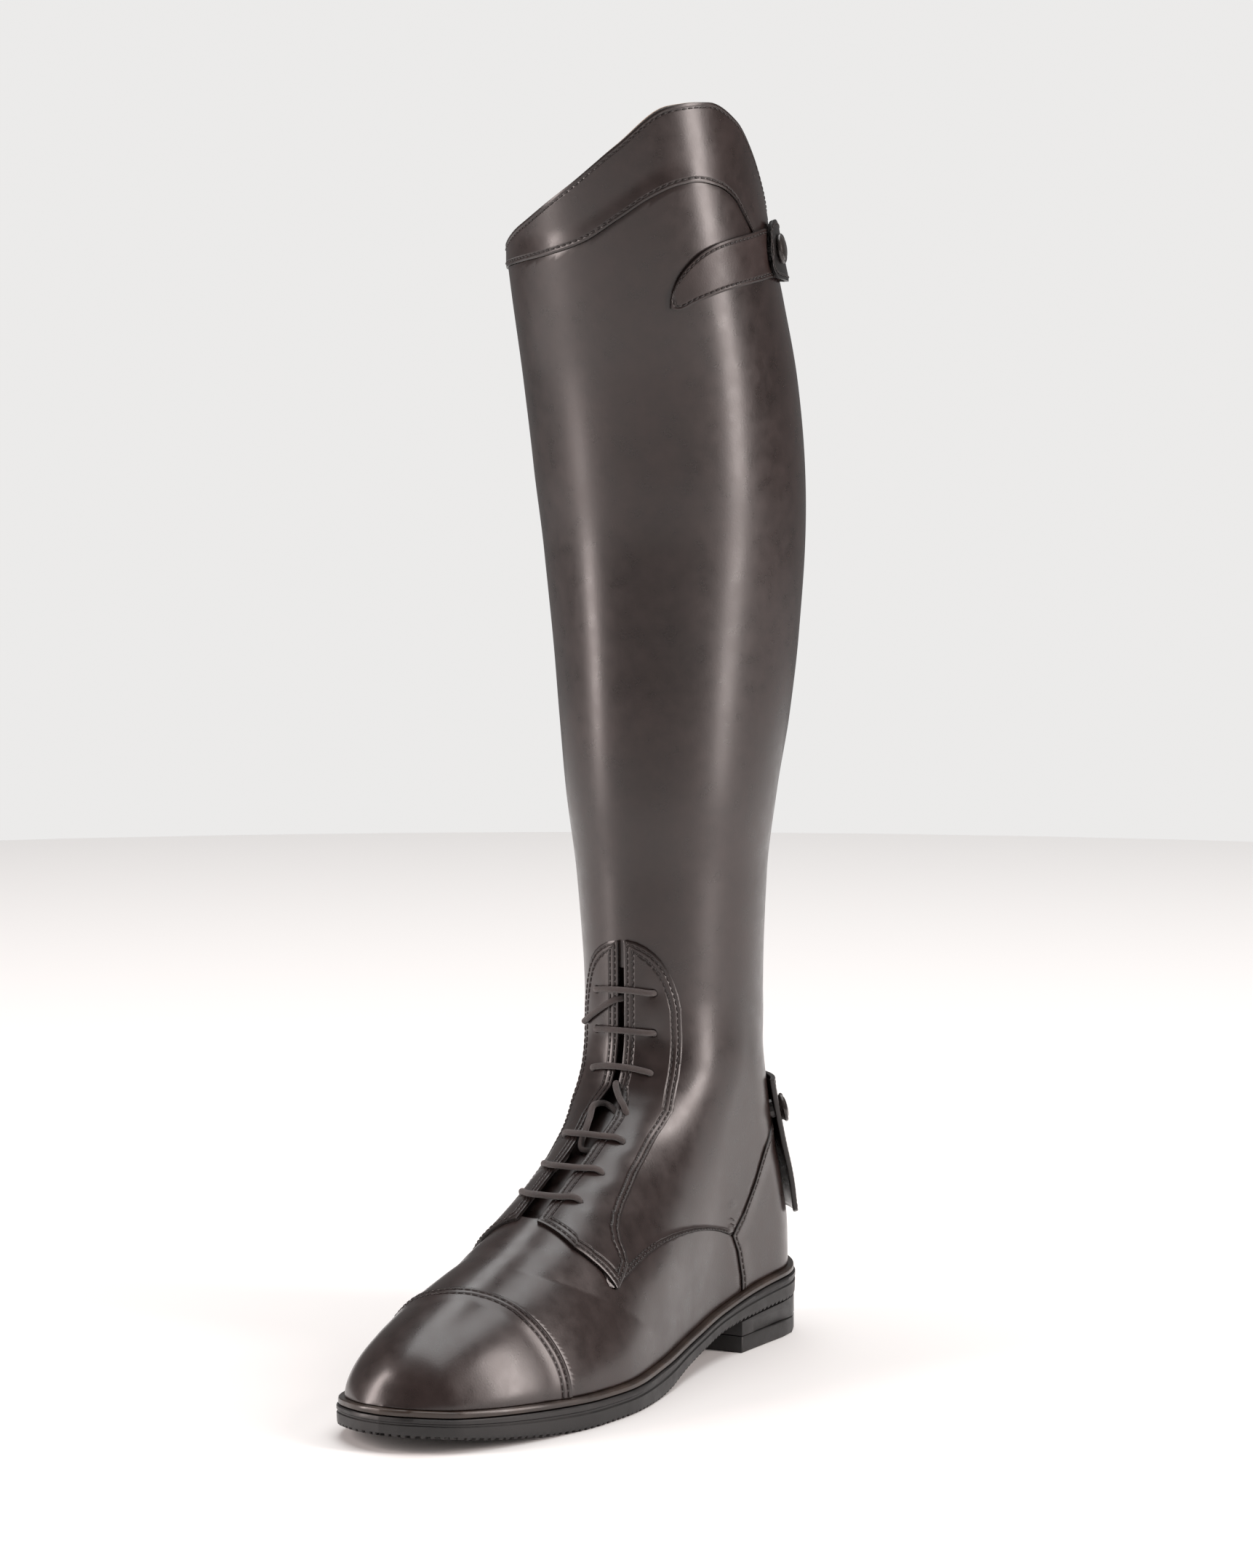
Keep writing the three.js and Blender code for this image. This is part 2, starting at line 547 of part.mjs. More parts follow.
const backNormal = (height) => {
  const slope = (backLine(height + 1) - backLine(height - 1)) / 2;
  return new THREE.Vector3(0, 1, -slope).normalize();
};
const backPoint = (height, raise) => {
  const point = new THREE.Vector3(centreX(height), backLine(height), height);
  return point.addScaledVector(backNormal(height), raise);
};

// Box given by its centre, the direction out of the leg, and its width, length and thickness
function plate(centre, normal, width, length, thickness) {
  const geometry = new THREE.BoxGeometry(width, thickness, length);
  const angle = Math.atan2(normal.z, normal.y);
  geometry.applyMatrix4(new THREE.Matrix4().makeRotationX(angle));
  geometry.translate(centre.x, centre.y, centre.z);
  return toSolid(geometry);
}
const SLIDER_HEIGHT = 428;
const sliderNormal = backNormal(SLIDER_HEIGHT);
const sliderAt = (raise) => backPoint(SLIDER_HEIGHT, raise);
const sliderPlate = plate(sliderAt(2.3), sliderNormal, 7.2, 11, 1.2);
const cheek = (x) => plate(sliderAt(1.1).add(new THREE.Vector3(x, 0, 0)), sliderNormal, 0.8, 9, 1.9);
const along = new THREE.Vector3(0, -sliderNormal.z, sliderNormal.y);
const bridgePost = (up) => plate(
  sliderAt(3.4).addScaledVector(along, up), sliderNormal, 2.4, 1.4, 1.8,
);
const bridgeBar = plate(sliderAt(4.6), sliderNormal, 2.4, 7.4, 1);
add('zip_slider', union([sliderPlate, cheek(3.1), cheek(-3.1), bridgePost(3), bridgePost(-3), bridgeBar]), 'metal');

// The puller hangs from the bridge and rests along the teeth: a pin, two arms and a flat tag
const pullerAxis = sliderAt(3.5);
const pullerBox = (x, width, from, to, low, high) => plate(
  pullerAxis.clone().add(new THREE.Vector3(x, 0, 0)).addScaledVector(along, -(from + to) / 2)
    .addScaledVector(sliderNormal, (low + high) / 2),
  sliderNormal, width, to - from, high - low,
);
const pullerArms = [-2.3, 2.3].map((x) => pullerBox(x, 1.2, -0.4, 8, -0.4, 0.4));
const pullerPin = pullerBox(0, 5, -0.4, 0.4, -0.4, 0.4);
const pullerTag = pullerBox(0, 6.2, 7, 27, -0.8, 0.4).add(pullerBox(0, 4.4, 26, 30, -0.8, 0.4));
add('zip_puller', union([...pullerArms, pullerPin, pullerTag]), 'metal');
add('zip_top_stop', plate(backPoint(ZIP_TOP + 2.4, 1.2), backNormal(ZIP_TOP), 5, 3.4, 2.6), 'metal');
add('zip_bottom_stop', plate(backPoint(ZIP_BOTTOM - 2.6, 1.1), backNormal(ZIP_BOTTOM - 2.6), 6, 3.6, 2), 'metal');

// ---- closure tab sewn to the outer side, and the snap strap that closes over the zip
const bandAngles = (from, to) => range(from, to, 6);
const tabTop = curve([[43, 438], [45, 446], [50, 452], [56, 457], [65, 460.5], [80, 464], [98, 466.5], [126, 466.5]]);
const tabLow = curve([[43, 434], [54, 437], [70, 442], [90, 445.5], [104, 447], [126, 447]]);
const tab = radialBand(LEG_AXIS, [43, 44, 46, 50, ...bandAngles(56, 122)], tabLow, tabTop, 15, 150);
add('closure_tab', overlay.intersect(tab), 'leather');
const STRAP_OUT = 3.9;
const strapSkin = layer(STRAP_OUT, GAP * 2 + OVERLAY + 0.2);
const STRAP_ANGLES = [96, 97.5, 101, 106, ...range(113, 232, 7)];
const strapTop = curve([[96, 460.5], [97.5, 465], [101, 468.5], [106, 470], [130, 467], [232, 466]]);
const strapLow = curve([[96, 455.5], [97.5, 450.5], [101, 447], [106, 446], [130, 444.5], [232, 445]]);
const strap = radialBand(LEG_AXIS, STRAP_ANGLES, strapLow, strapTop, 15, 150);
add('closure_strap', strapSkin.intersect(strap), 'elastic');
const anchorBand = radialBand(LEG_AXIS, range(-134, -112, 11), () => 443, () => 467, 15, 150);
add('strap_anchor', overlay.intersect(anchorBand), 'leather');

// Point on the leather in a direction from the leg axis, with the direction out of it
const legSide = (angle, height, raise, axis = LEG_AXIS) => {
  const out = new THREE.Vector3(Math.sin(radians(angle)), -Math.cos(radians(angle)), 0);
  const origin = new THREE.Vector3(axis[0], axis[1], height).addScaledVector(out, 300);
  const ray = new THREE.Raycaster(origin, out.clone().negate());
  const hit = ray.intersectObject(skinMesh)[0];
  const normal = hit.face.normal.clone();
  return { point: hit.point.clone().addScaledVector(normal, raise), normal };
};
const strapSnap = legSide(107, 458, STRAP_OUT + GAP);
add('strap_snap_cap', dome(strapSnap.point, strapSnap.normal, 6.2, 2.4, 16), 'metal');

// ---- zip guard over the heel: a stiff shield standing off the leather, snapped on the outer side
const GUARD = [
  { z: 48, y: 31, across: 34.6, back: 34.6 },
  { z: 66, y: 25, across: 35.2, back: 36.2 },
  { z: 86, y: 15, across: 35.6, back: 38 },
  { z: 104, y: 7, across: 35.8, back: 39.4 },
  { z: 116, y: 3, across: 35.4, back: 39.6 },
];
const GUARD_THICK = 2.2;
const guardColumn = (key) => curve(GUARD.map((row) => [row.z, row[key]]));
const guardY = guardColumn('y');
const guardAcross = guardColumn('across');
const guardBack = guardColumn('back');
const guardPoint = (angle, z, depth) => new THREE.Vector3(
  (guardAcross(z) + depth) * Math.sin(radians(angle)),
  guardY(z) + (guardBack(z) + depth) * Math.cos(radians(angle)),
  z,
);
// Closed body between two depths of the shield surface; angle 0 is straight back
function shieldBody(inner, outer, angleFrom, angleTo, low, high) {
  const angles = range(angleFrom, angleTo, 11.5);
  const heights = range(low, high, 13);
  const points = [];
  const faces = [];
  const wide = angles.length;
  const tall = heights.length;
  for (const depth of [outer, inner]) {
    for (const z of heights) angles.forEach((angle) => points.push(guardPoint(angle, z, depth)));
  }
  const at = (skin, row, i) => skin * wide * tall + row * wide + i;
  const quad = (a, b, c, d) => faces.push([a, b, c], [a, c, d]);
  for (let row = 0; row < tall - 1; row += 1) {
    for (let i = 0; i < wide - 1; i += 1) {
      quad(at(0, row, i), at(0, row + 1, i), at(0, row + 1, i + 1), at(0, row, i + 1));
      quad(at(1, row, i), at(1, row, i + 1), at(1, row + 1, i + 1), at(1, row + 1, i));
    }
    quad(at(0, row, 0), at(1, row, 0), at(1, row + 1, 0), at(0, row + 1, 0));
    quad(at(0, row, wide - 1), at(0, row + 1, wide - 1), at(1, row + 1, wide - 1), at(1, row, wide - 1));
  }
  for (let i = 0; i < wide - 1; i += 1) {
    quad(at(0, 0, i), at(0, 0, i + 1), at(1, 0, i + 1), at(1, 0, i));
    quad(at(0, tall - 1, i), at(1, tall - 1, i), at(1, tall - 1, i + 1), at(0, tall - 1, i + 1));
  }
  return solidFromFaces(points, faces);
}
const guardShape = prism('x', [
  [-FAR, 112], [FAR, 112], [FAR, 52], [46, 51], [30, 58], [20, 70], [0, 100],
], -120, 120);
const guardPlate = shieldBody(-GUARD_THICK, 0, -66, 69, 51.5, 112).intersect(guardShape);
add('zip_guard', guardPlate, 'leather');
const guardHollow = shieldBody(-20, -GUARD_THICK - GAP - 0.1, -64.5, -41.5, 53, 108).intersect(guardShape);
add('guard_anchor', guardHollow.subtract(closed(GAP)), 'leather');
const snapHeight = 98;
const snapAngle = 58;
const capSeat = guardPoint(snapAngle, snapHeight, 0.3);
const capNormal = new THREE.Vector3(Math.sin(radians(snapAngle)), Math.cos(radians(snapAngle)), 0.25).normalize();
add('guard_snap_cap', dome(capSeat.clone().addScaledVector(capNormal, 0.5), capNormal, 6.2, 2.4, 16), 'metal');
const studEnd = guardPoint(snapAngle, snapHeight, -GUARD_THICK - 0.3);
const stud = rod(studEnd.clone().addScaledVector(capNormal, -14), studEnd.clone().addScaledVector(capNormal, -0.4), 4, 4, 12);
add('guard_snap_stud', stud.subtract(closed(GAP)), 'metal');

// ---- sole
function planOutline(grow) {
  const points = [];
  const heelRound = (y) => Math.sqrt(1 - (1 - clamp((61 - y) / 31, 0, 1)) ** 2);
  const rows = [
    -226, -225, -222, -217, -210, -200, -187, -173, -155, -135, -112, -88, -62, -38, -14, 10, 28, 38, 46,
    52, 56.5, 59.5, 61,
  ];
  rows.forEach((y) => points.push([planCentre(y) + planOuter(y) * heelRound(y), y]));
  rows.slice(1, -1).reverse().forEach((y) => points.push([planCentre(y) - planInner(y) * heelRound(y), y]));
  const count = points.length;
  return points.map((point, i) => {
    const before = points[(i + count - 1) % count];
    const after = points[(i + 1) % count];
    const reach = Math.hypot(after[0] - before[0], after[1] - before[1]);
    const out = [(after[1] - before[1]) / reach, -(after[0] - before[0]) / reach];
    return [point[0] + grow * out[0], point[1] + grow * out[1]];
  });
}
const plank = (grow, top, bottom) => {
  const ys = [-245, -226, -203, -183, -158, -128, -95, -60, -38, -9, -8.9, 5, 30, 49, 75];
  const outline = [...ys.map((y) => [y, bottom(y)]), ...ys.map((y) => [y, top(y)]).reverse()];
  return prism('z', planOutline(grow), -40, 80).intersect(prism('x', outline, -120, 120));
};
const featherAt = (y) => (y > 49 ? mix(29.5, 30.5, clamp((y - 49) / 12, 0, 1)) : feather(Math.max(y, -226)));
const tread = curve([[-245, 8], [-226, 6.5], [-195, 2.5], [-158, 0], [-100, 0], [-60, 6], [-9, 13.5], [80, 17.5]]);
const WELT = 2.6;
const OUTSOLE_GROW = 3.2;
const HEEL_FRONT = -8;
const weltTop = (y) => featherAt(y) - GAP;
const weltLow = (y) => featherAt(y) - GAP - WELT;
const outsoleTop = (y) => weltLow(y) - GAP;
const fillOutline = (grow) => prism('z', planOutline(grow), -40, 80);
add('welt', plank(OUTSOLE_GROW - 0.6, weltTop, weltLow).subtract(fillOutline(-7)), 'leather');
const shankSlot = (grow) => block(-7 - grow, 7 + grow, -78 - grow, 22 + grow, -20, 60);
const shankTop = (y) => weltTop(y) - 0.3;
const shankLow = (y) => weltTop(y) - 2.1;
add('cork_filler', plank(-7.3, weltTop, weltLow).subtract(shankSlot(0.3)), 'board');
add('shank', plank(-8, shankTop, shankLow).intersect(shankSlot(0)), 'steel');
const nailSpots = [[0, 46], [-15, 26], [15, 26], [0, 8]];
const nailHoles = union(nailSpots.map(([x, y]) => rod(
  new THREE.Vector3(x, y, -5), new THREE.Vector3(x, y, 40), 1.3, 1.3, 6,
)));
add('outsole', plank(OUTSOLE_GROW, outsoleTop, tread).subtract(nailHoles.intersect(block(-99, 99, -20, 99, 8, 40))), 'rubber');
const heelTop = (y) => Math.max(tread(y) - GAP, 8.5);
const HEEL_LIFT = 7;
const heelBody = plank(OUTSOLE_GROW - 0.4, heelTop, () => HEEL_LIFT + GAP).intersect(block(-99, 99, HEEL_FRONT, 99, -20, 60));
const panel = (side) => block(
  side > 0 ? 32.4 : -99, side > 0 ? 99 : -31.4, 2, 40, HEEL_LIFT + GAP - 1, 12.4,
);
const nailRoom = nailHoles.intersect(block(-99, 99, -20, 99, 4, 40));
add('heel_block', heelBody.subtract(panel(1)).subtract(panel(-1)).subtract(nailRoom), 'rubber');
add('heel_top_piece', plank(OUTSOLE_GROW - 0.4, () => HEEL_LIFT, () => 0)
  .intersect(block(-99, 99, HEEL_FRONT, 99, -20, 60)).subtract(nailHoles.intersect(block(-99, 99, -20, 99, 3.5, 40))), 'rubber');
nailSpots.forEach(([x, y], i) => {
  const top = outsoleTop(y);
  add(`heel_nail_${i + 1}`, rod(new THREE.Vector3(x, y, 4), new THREE.Vector3(x, y, top), 1, 1, 6), 'steel');
});
const cavity = opened(DEEP - LINING - GAP);
const insoleTop = (y) => featherAt(y) + 2.2;
add('insole_board', plank(-3, insoleTop, featherAt).intersect(cavity), 'board');
const bedTop = (y) => insoleTop(y) + 4.3;
add('footbed', plank(-3, bedTop, (y) => insoleTop(y) + GAP).intersect(cavity), 'lining');

// The part's origin is on the floor under the middle of its outline
const bounds = new THREE.Box3().setFromObject(group);
const middle = bounds.getCenter(new THREE.Vector3());
group.position.set(-middle.x, -middle.y, -bounds.min.z);
group.updateMatrixWorld(true);

export default group;
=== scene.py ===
"""Tall laced riding boot for the left foot: its visible pieces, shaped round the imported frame.

Shapes are worked out in millimetres in the last's own frame, with the ankle over the origin, and
are moved to the part's frame in metres when a mesh is written. +Z is up, the toe points toward -Y
and the outer side of the leg is +X. Depths run out of the leather: negative is toward the leg.
"""

import json
import logging
import math
from collections.abc import Callable, Iterable, Sequence
from dataclasses import dataclass, field, replace
from enum import Enum

import bpy
import numpy as np
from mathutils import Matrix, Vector
from mathutils.bvhtree import BVHTree

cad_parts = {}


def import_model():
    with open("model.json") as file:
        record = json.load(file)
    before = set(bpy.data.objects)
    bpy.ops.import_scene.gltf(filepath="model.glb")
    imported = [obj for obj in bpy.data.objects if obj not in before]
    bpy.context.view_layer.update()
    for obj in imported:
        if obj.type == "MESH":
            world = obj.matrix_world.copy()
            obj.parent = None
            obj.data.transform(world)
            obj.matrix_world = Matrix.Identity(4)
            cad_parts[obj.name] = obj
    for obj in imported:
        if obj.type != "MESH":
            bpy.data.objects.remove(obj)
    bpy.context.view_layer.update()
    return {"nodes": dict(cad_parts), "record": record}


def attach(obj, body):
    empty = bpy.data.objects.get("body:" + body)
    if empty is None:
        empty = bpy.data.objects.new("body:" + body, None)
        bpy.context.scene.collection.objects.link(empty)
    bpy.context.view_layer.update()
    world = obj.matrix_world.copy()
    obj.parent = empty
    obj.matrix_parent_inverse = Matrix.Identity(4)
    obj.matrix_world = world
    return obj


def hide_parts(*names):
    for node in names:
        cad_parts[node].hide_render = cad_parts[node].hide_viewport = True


LOG = logging.getLogger("boot")
Array = np.ndarray
Field = Callable[[Array, Array, Array], Array]
Surface = Callable[[Array, Array], Array]

# Where the ankle's frame stands in the part's frame, mm
ORIGIN = np.array([3.367, 82.203, 0.0])
MM = 0.001
# Well past the boot, and a distance that stands for "not near", mm
FAR = 300.0
CLEAR = 99.0

# Thickness of the goods and of the glue lines between them, mm
LEATHER = 1.8
OVERLAY = 1.4
LINING = 1.2
GLUE = 0.3
LINING_DEPTH = -LEATHER - GLUE
FOOT_LINING_DEPTH = LINING_DEPTH - LINING - GLUE

# Axis that compass angles on the leg are measured about, mm
LEG_AXIS = (-6.0, -28.0)
# Half the width of the zip's opening and the height of its foot; the elastic V's foot and top, mm
ZIP_HALF, ZIP_FOOT = 7.5, 93.0
ELASTIC_FOOT, ELASTIC_TOP = 195.0, 470.0


# ------------------------------------------------------------------ small maths
def mix(low: Array | float, high: Array | float, share: Array | float) -> Array:
    """Returns the value a share of the way from low to high."""
    return low + (high - low) * share


def ease(share: Array) -> Array:
    """Returns a share eased at both ends and held to 0..1."""
    held = np.clip(share, 0.0, 1.0)
    return held * held * (3.0 - 2.0 * held)


def unit(vectors: Array) -> Array:
    """Returns vectors of length one along the last axis."""
    length = np.linalg.norm(vectors, axis=-1, keepdims=True)
    return vectors / np.maximum(length, 1e-9)


class SmoothCurve:
    """Smooth curve through points that never overshoots between them."""

    def __init__(self, points: Iterable[Sequence[float]]) -> None:
        """Works out the slope at each point.

        Args:
            points: Pairs of place and value, in rising order of place.
        """
        table = np.array(sorted((float(x), float(y)) for x, y in points))
        self.places, self.values = table[:, 0], table[:, 1]
        slopes = np.diff(self.values) / np.diff(self.places)
        before = np.concatenate([slopes[:1], slopes])
        after = np.concatenate([slopes, slopes[-1:]])
        total = np.where(before + after == 0.0, 1.0, before + after)
        self.slopes = np.where(before * after <= 0.0, 0.0, 2.0 * before * after / total)

    def __call__(self, place: Array | float) -> Array:
        """Returns the value at each place, held at the two ends."""
        at = np.asarray(place, dtype=float)
        index = np.clip(np.searchsorted(self.places, at) - 1, 0, len(self.places) - 2)
        span = self.places[index + 1] - self.places[index]
        t = np.clip((at - self.places[index]) / span, 0.0, 1.0)
        start = (2 * t**3 - 3 * t**2 + 1) * self.values[index]
        start += (t**3 - 2 * t**2 + t) * span * self.slopes[index]
        end = (3 * t**2 - 2 * t**3) * self.values[index + 1]
        return start + end + (t**3 - t**2) * span * self.slopes[index + 1]


class Outline:
    """Closed outline drawn in a plane, with the signed distance to it."""

    def __init__(self, corners: Iterable[Sequence[float]], axes: tuple[int, int]) -> None:
        """Keeps the corners.

        Args:
            corners: The outline's corners, mm.
            axes: Which two of x, y and z the corners are drawn on.
        """
        self.start = np.array([tuple(map(float, corner)) for corner in corners])
        self.end = np.roll(self.start, -1, axis=0)
        self.axes = axes

    def inside(self, points: Array) -> Array:
        """Returns the distance to the outline in its plane, positive inside."""
        flat = points[..., list(self.axes)]
        nearest = np.full(flat.shape[:-1], 1e9)
        odd = np.zeros(flat.shape[:-1], dtype=bool)
        for start, end in zip(self.start, self.end):
            side = end - start
            reach = np.clip(((flat - start) @ side) / max(float(side @ side), 1e-9), 0.0, 1.0)
            gap = np.linalg.norm(flat - start - reach[..., None] * side, axis=-1)
            nearest = np.minimum(nearest, gap)
            rises = (start[1] > flat[..., 1]) != (end[1] > flat[..., 1])
            run = side[1] if abs(side[1]) > 1e-9 else 1e-9
            crossing = start[0] + (flat[..., 1] - start[1]) * side[0] / run
            odd ^= rises & (flat[..., 0] < crossing)
        return np.where(odd, nearest, -nearest)


def shifted(corners: Iterable[Sequence[float]], du: float, dv: float) -> list[tuple[float, float]]:
    """Returns corners moved by du and dv."""
    return [(u + du, v + dv) for u, v in corners]


# ------------------------------------------------------------------ the boot's outer surface
def calf_back(height: float) -> float:
    """Returns where the back of the calf is at a height: an arc that the zip slider follows."""
    return -224.0 + math.sqrt(282.5**2 - (height - 328.0) ** 2)


@dataclass
class BootForm:
    """The outer face of the leather, as a surface over an angle and a row.

    The angle runs from -180 to 180 degrees with 0 at the shin and toe ridge. Rows 0 to 7 go down
    the leg to the ankle, and rows 7 to 26 go round the heel and along the foot to the toe.
    """

    ankle: float = 150.0
    leg_rows: float = 7.0
    closed_rows: float = 14.0
    last_row: float = 26.0
    lean: float = 0.019
    leg: tuple = (
        (100, 41, -53, 33.5), (150, 37, -52.5, 34.5), (200, 38, -54, 37.5), (235, None, -57, 42),
        (265, None, -58.5, 45.5), (300, None, -59.5, 49), (335, None, -61, 52.5),
        (370, None, -65, 55), (405, None, -70.5, 55.7), (438, None, -78.5, 55),
        (460, 28, -84, 54), (520, 12, -98, 52),
    )
    top_line: tuple = (
        (-180, 468), (-150, 467), (-120, 464), (-95, 461), (-62, 460), (-30, 468), (0, 482),
        (25, 498), (52, 514), (72, 516), (90, 509), (103, 496), (113, 484), (124, 475),
        (140, 470), (160, 468), (180, 468),
    )
    back_rows: tuple = (
        (37, 150), (37, 132), (38.5, 115), (43, 98), (49.5, 82), (56, 64), (60.5, 47), (61, 30.5),
        (49, 29.5), (30, 28.5), (5, 26.5), (-25, 22), (-60, 17), (-95, 14), (-128, 13),
        (-158, 13.5), (-183, 14.5), (-203, 15.5), (-217, 16.5), (-226, 17.5),
    )
    front_rows: tuple = (
        (-52.5, 150), (-52.5, 138), (-54, 127.5), (-58, 118.5), (-64.5, 111), (-73, 104),
        (-83, 98), (-94, 92), (-107, 86), (-119, 80), (-131, 74), (-143, 68.5), (-155, 63.5),
        (-167, 59), (-179, 54.5), (-191, 49.5), (-203, 43.5), (-214, 36), (-222, 27),
        (-226, 17.5),
    )
    plan: tuple = (
        (-226, 0, 0, -9), (-225, 8, 8, -9), (-222, 15.5, 15, -9), (-212, 26.5, 26, -9),
        (-193, 35, 34, -7), (-173, 40.5, 38.5, -5), (-148, 43.5, 41.5, -2), (-123, 43, 40, 0),
        (-90, 38.5, 33, 0), (-50, 32, 27, 0), (-20, 29.5, 27, 0), (10, 30, 29, 0),
        (35, 30.5, 29.5, 0), (80, 30.5, 29.5, 0),
    )

    def __post_init__(self) -> None:
        """Draws the curves through the tables."""
        rows = [(z, calf_back(z) if y is None else y, front, half) for z, y, front, half in self.leg]
        self.leg_back = SmoothCurve((row[0], row[1]) for row in rows)
        self.leg_front = SmoothCurve((row[0], row[2]) for row in rows)
        self.leg_half = SmoothCurve((row[0], row[3]) for row in rows)
        self.rim = SmoothCurve(self.top_line)
        self.plan_outer = SmoothCurve((row[0], row[1]) for row in self.plan)
        self.plan_inner = SmoothCurve((row[0], row[2]) for row in self.plan)
        self.plan_centre = SmoothCurve((row[0], row[3]) for row in self.plan)
        self.back_y = SmoothCurve((i, row[0]) for i, row in enumerate(self.back_rows))
        self.back_z = SmoothCurve((i, row[1]) for i, row in enumerate(self.back_rows))
        self.front_y = SmoothCurve((i, row[0]) for i, row in enumerate(self.front_rows))
        self.front_z = SmoothCurve((i, row[1]) for i, row in enumerate(self.front_rows))
        self.heel_back = SmoothCurve((row[1], row[0]) for row in self.back_rows[:8])
        self.feather_line = SmoothCurve((row[0], row[1]) for row in self.back_rows[8:])
        self.back_round = SmoothCurve([(0, 44.7), (2, 40), (4, 36), (7, 31), (19, 30)])
        self.front_round = SmoothCurve([(0, 44.7), (3, 42), (6, 60), (10, 95), (19, 100)])

    def centre_x(self, height: Array | float) -> Array:
        """Returns the middle of the leg across, which leans inward above the ankle."""
        return -self.lean * np.maximum(0.0, np.asarray(height) - self.ankle)

    def leg_point(self, angle: Array, height: Array) -> Array:
        """Returns points on the leg at an angle from the shin and a height."""
        turn = np.radians(angle)
        back, front = self.leg_back(height), self.leg_front(height)
        x = self.centre_x(height) + self.leg_half(height) * np.sin(turn)
        y = (back + front) / 2 - (back - front) / 2 * np.cos(turn)
        return np.stack([x, y, height + 0.0 * x], axis=-1)

    def foot_point(self, angle: Array, row: Array) -> Array:
        """Returns points on the ankle and foot; row 0 is the ankle ring and row 19 the toe."""
        from_back = np.radians(180.0 - np.abs(angle))
        side = np.sign(angle)
        opening = ease((row - 5.0) / 5.0)
        along = mix((1 - np.cos(from_back)) / 2, np.sin(from_back / 2), opening)
        back_y, back_z = self.back_y(row), self.back_z(row)
        front_y, front_z = self.front_y(row), self.front_z(row)
        y, z = mix(back_y, front_y, along), mix(back_z, front_z, along)
        chord = np.hypot(front_y - back_y, front_z - back_z)
        sole = np.where(side >= 0, self.plan_outer(y), self.plan_inner(y))
        leg = mix(32.5, self.leg_half(self.ankle), ease((z - 60.0) / 90.0))
        half = mix(sole, leg, ease((z - 45.0) / 75.0))
        heel_gap = self.heel_back(np.clip(z, 30.5, 150.0)) - y
        from_heel = np.clip(heel_gap / self.back_round(row), 0.0, 1.0)
        reach = np.minimum(self.front_round(row), np.maximum(chord, 1.0))
        from_ridge = np.clip((1 - along) * chord / reach, 0.0, 1.0)
        power = mix(2.0, 2.15, ease((row - 8.0) / 6.0))
        back_shape = np.sqrt(1 - (1 - from_heel) ** 2)
        top_shape = (1 - (1 - from_ridge) ** power) ** (1 / power)
        return np.stack([side * half * back_shape * top_shape + self.plan_centre(y), y, z], axis=-1)

    def point(self, angle: Array, row: Array) -> Array:
        """Returns points on the whole surface."""
        share = np.clip(row / self.leg_rows, 0.0, 1.0)
        height = mix(self.rim(angle), self.ankle, share)
        leg = self.leg_point(angle, height)
        foot = self.foot_point(angle, np.clip(row - self.leg_rows, 0.0, self.last_row))
        return np.where((row <= self.leg_rows)[..., None], leg, foot)

    def outward(self, angle: Array, row: Array) -> Array:
        """Returns the direction out of the leather at each place."""
        normal = surface_normals(self.point, angle, row, (-180.0, 180.0), (0.0, self.last_row))
        end = np.abs(angle) > 179.9
        ring = end & (row <= self.closed_rows)
        edge = end & (row > self.closed_rows)
        normal[..., 0] = np.where(ring, 0.0, normal[..., 0])
        normal[..., 2] = np.where(edge, 0.0, normal[..., 2])
        tip = (row > self.last_row - 1e-6) | (np.linalg.norm(normal, axis=-1) < 1e-6)
        return unit(np.where(tip[..., None], np.array([0.0, -1.0, 0.0]), normal))

    def rows(self, first: float, last: float, step: float) -> Array:
        """Returns row numbers from first to last, about a step of mm apart at the widest place."""
        dense = np.linspace(first, last, 2400)
        length = np.zeros(len(dense))
        for angle in (0.0, 60.0, 120.0, 150.0, 170.0, 180.0, -180.0):
            track = self.point(np.full(len(dense), angle), dense)
            length[1:] = np.maximum(length[1:], np.linalg.norm(np.diff(track, axis=0), axis=-1))
        travelled = np.cumsum(length)
        count = max(2, int(round(travelled[-1] / step)))
        return np.interp(np.linspace(0, travelled[-1], count + 1), travelled, dense)

    def leg_side(self, angle: Array, height: Array) -> Array:
        """Returns points on the leg seen from its axis, at a compass angle from the shin."""
        turn = np.radians(angle)
        back, front = self.leg_back(height), self.leg_front(height)
        wide, deep = self.leg_half(height), (back - front) / 2
        aside = (LEG_AXIS[0] - self.centre_x(height)) / wide
        ahead = (LEG_AXIS[1] - (back + front) / 2) / deep
        across, away = np.sin(turn) / wide, -np.cos(turn) / deep
        a, b = across**2 + away**2, across * aside + away * ahead
        reach = (-b + np.sqrt(b * b - a * (aside**2 + ahead**2 - 1))) / a
        x, y = LEG_AXIS[0] + reach * np.sin(turn), LEG_AXIS[1] - reach * np.cos(turn)
        return np.stack([x, y, height + 0.0 * x], axis=-1)

    def feather(self, y: Array) -> Array:
        """Returns the height of the leather's lower edge along the foot."""
        heel = mix(29.5, 30.5, np.clip((y - 49.0) / 12.0, 0.0, 1.0))
        return np.where(y > 49.0, heel, self.feather_line(np.maximum(y, -226.0)))


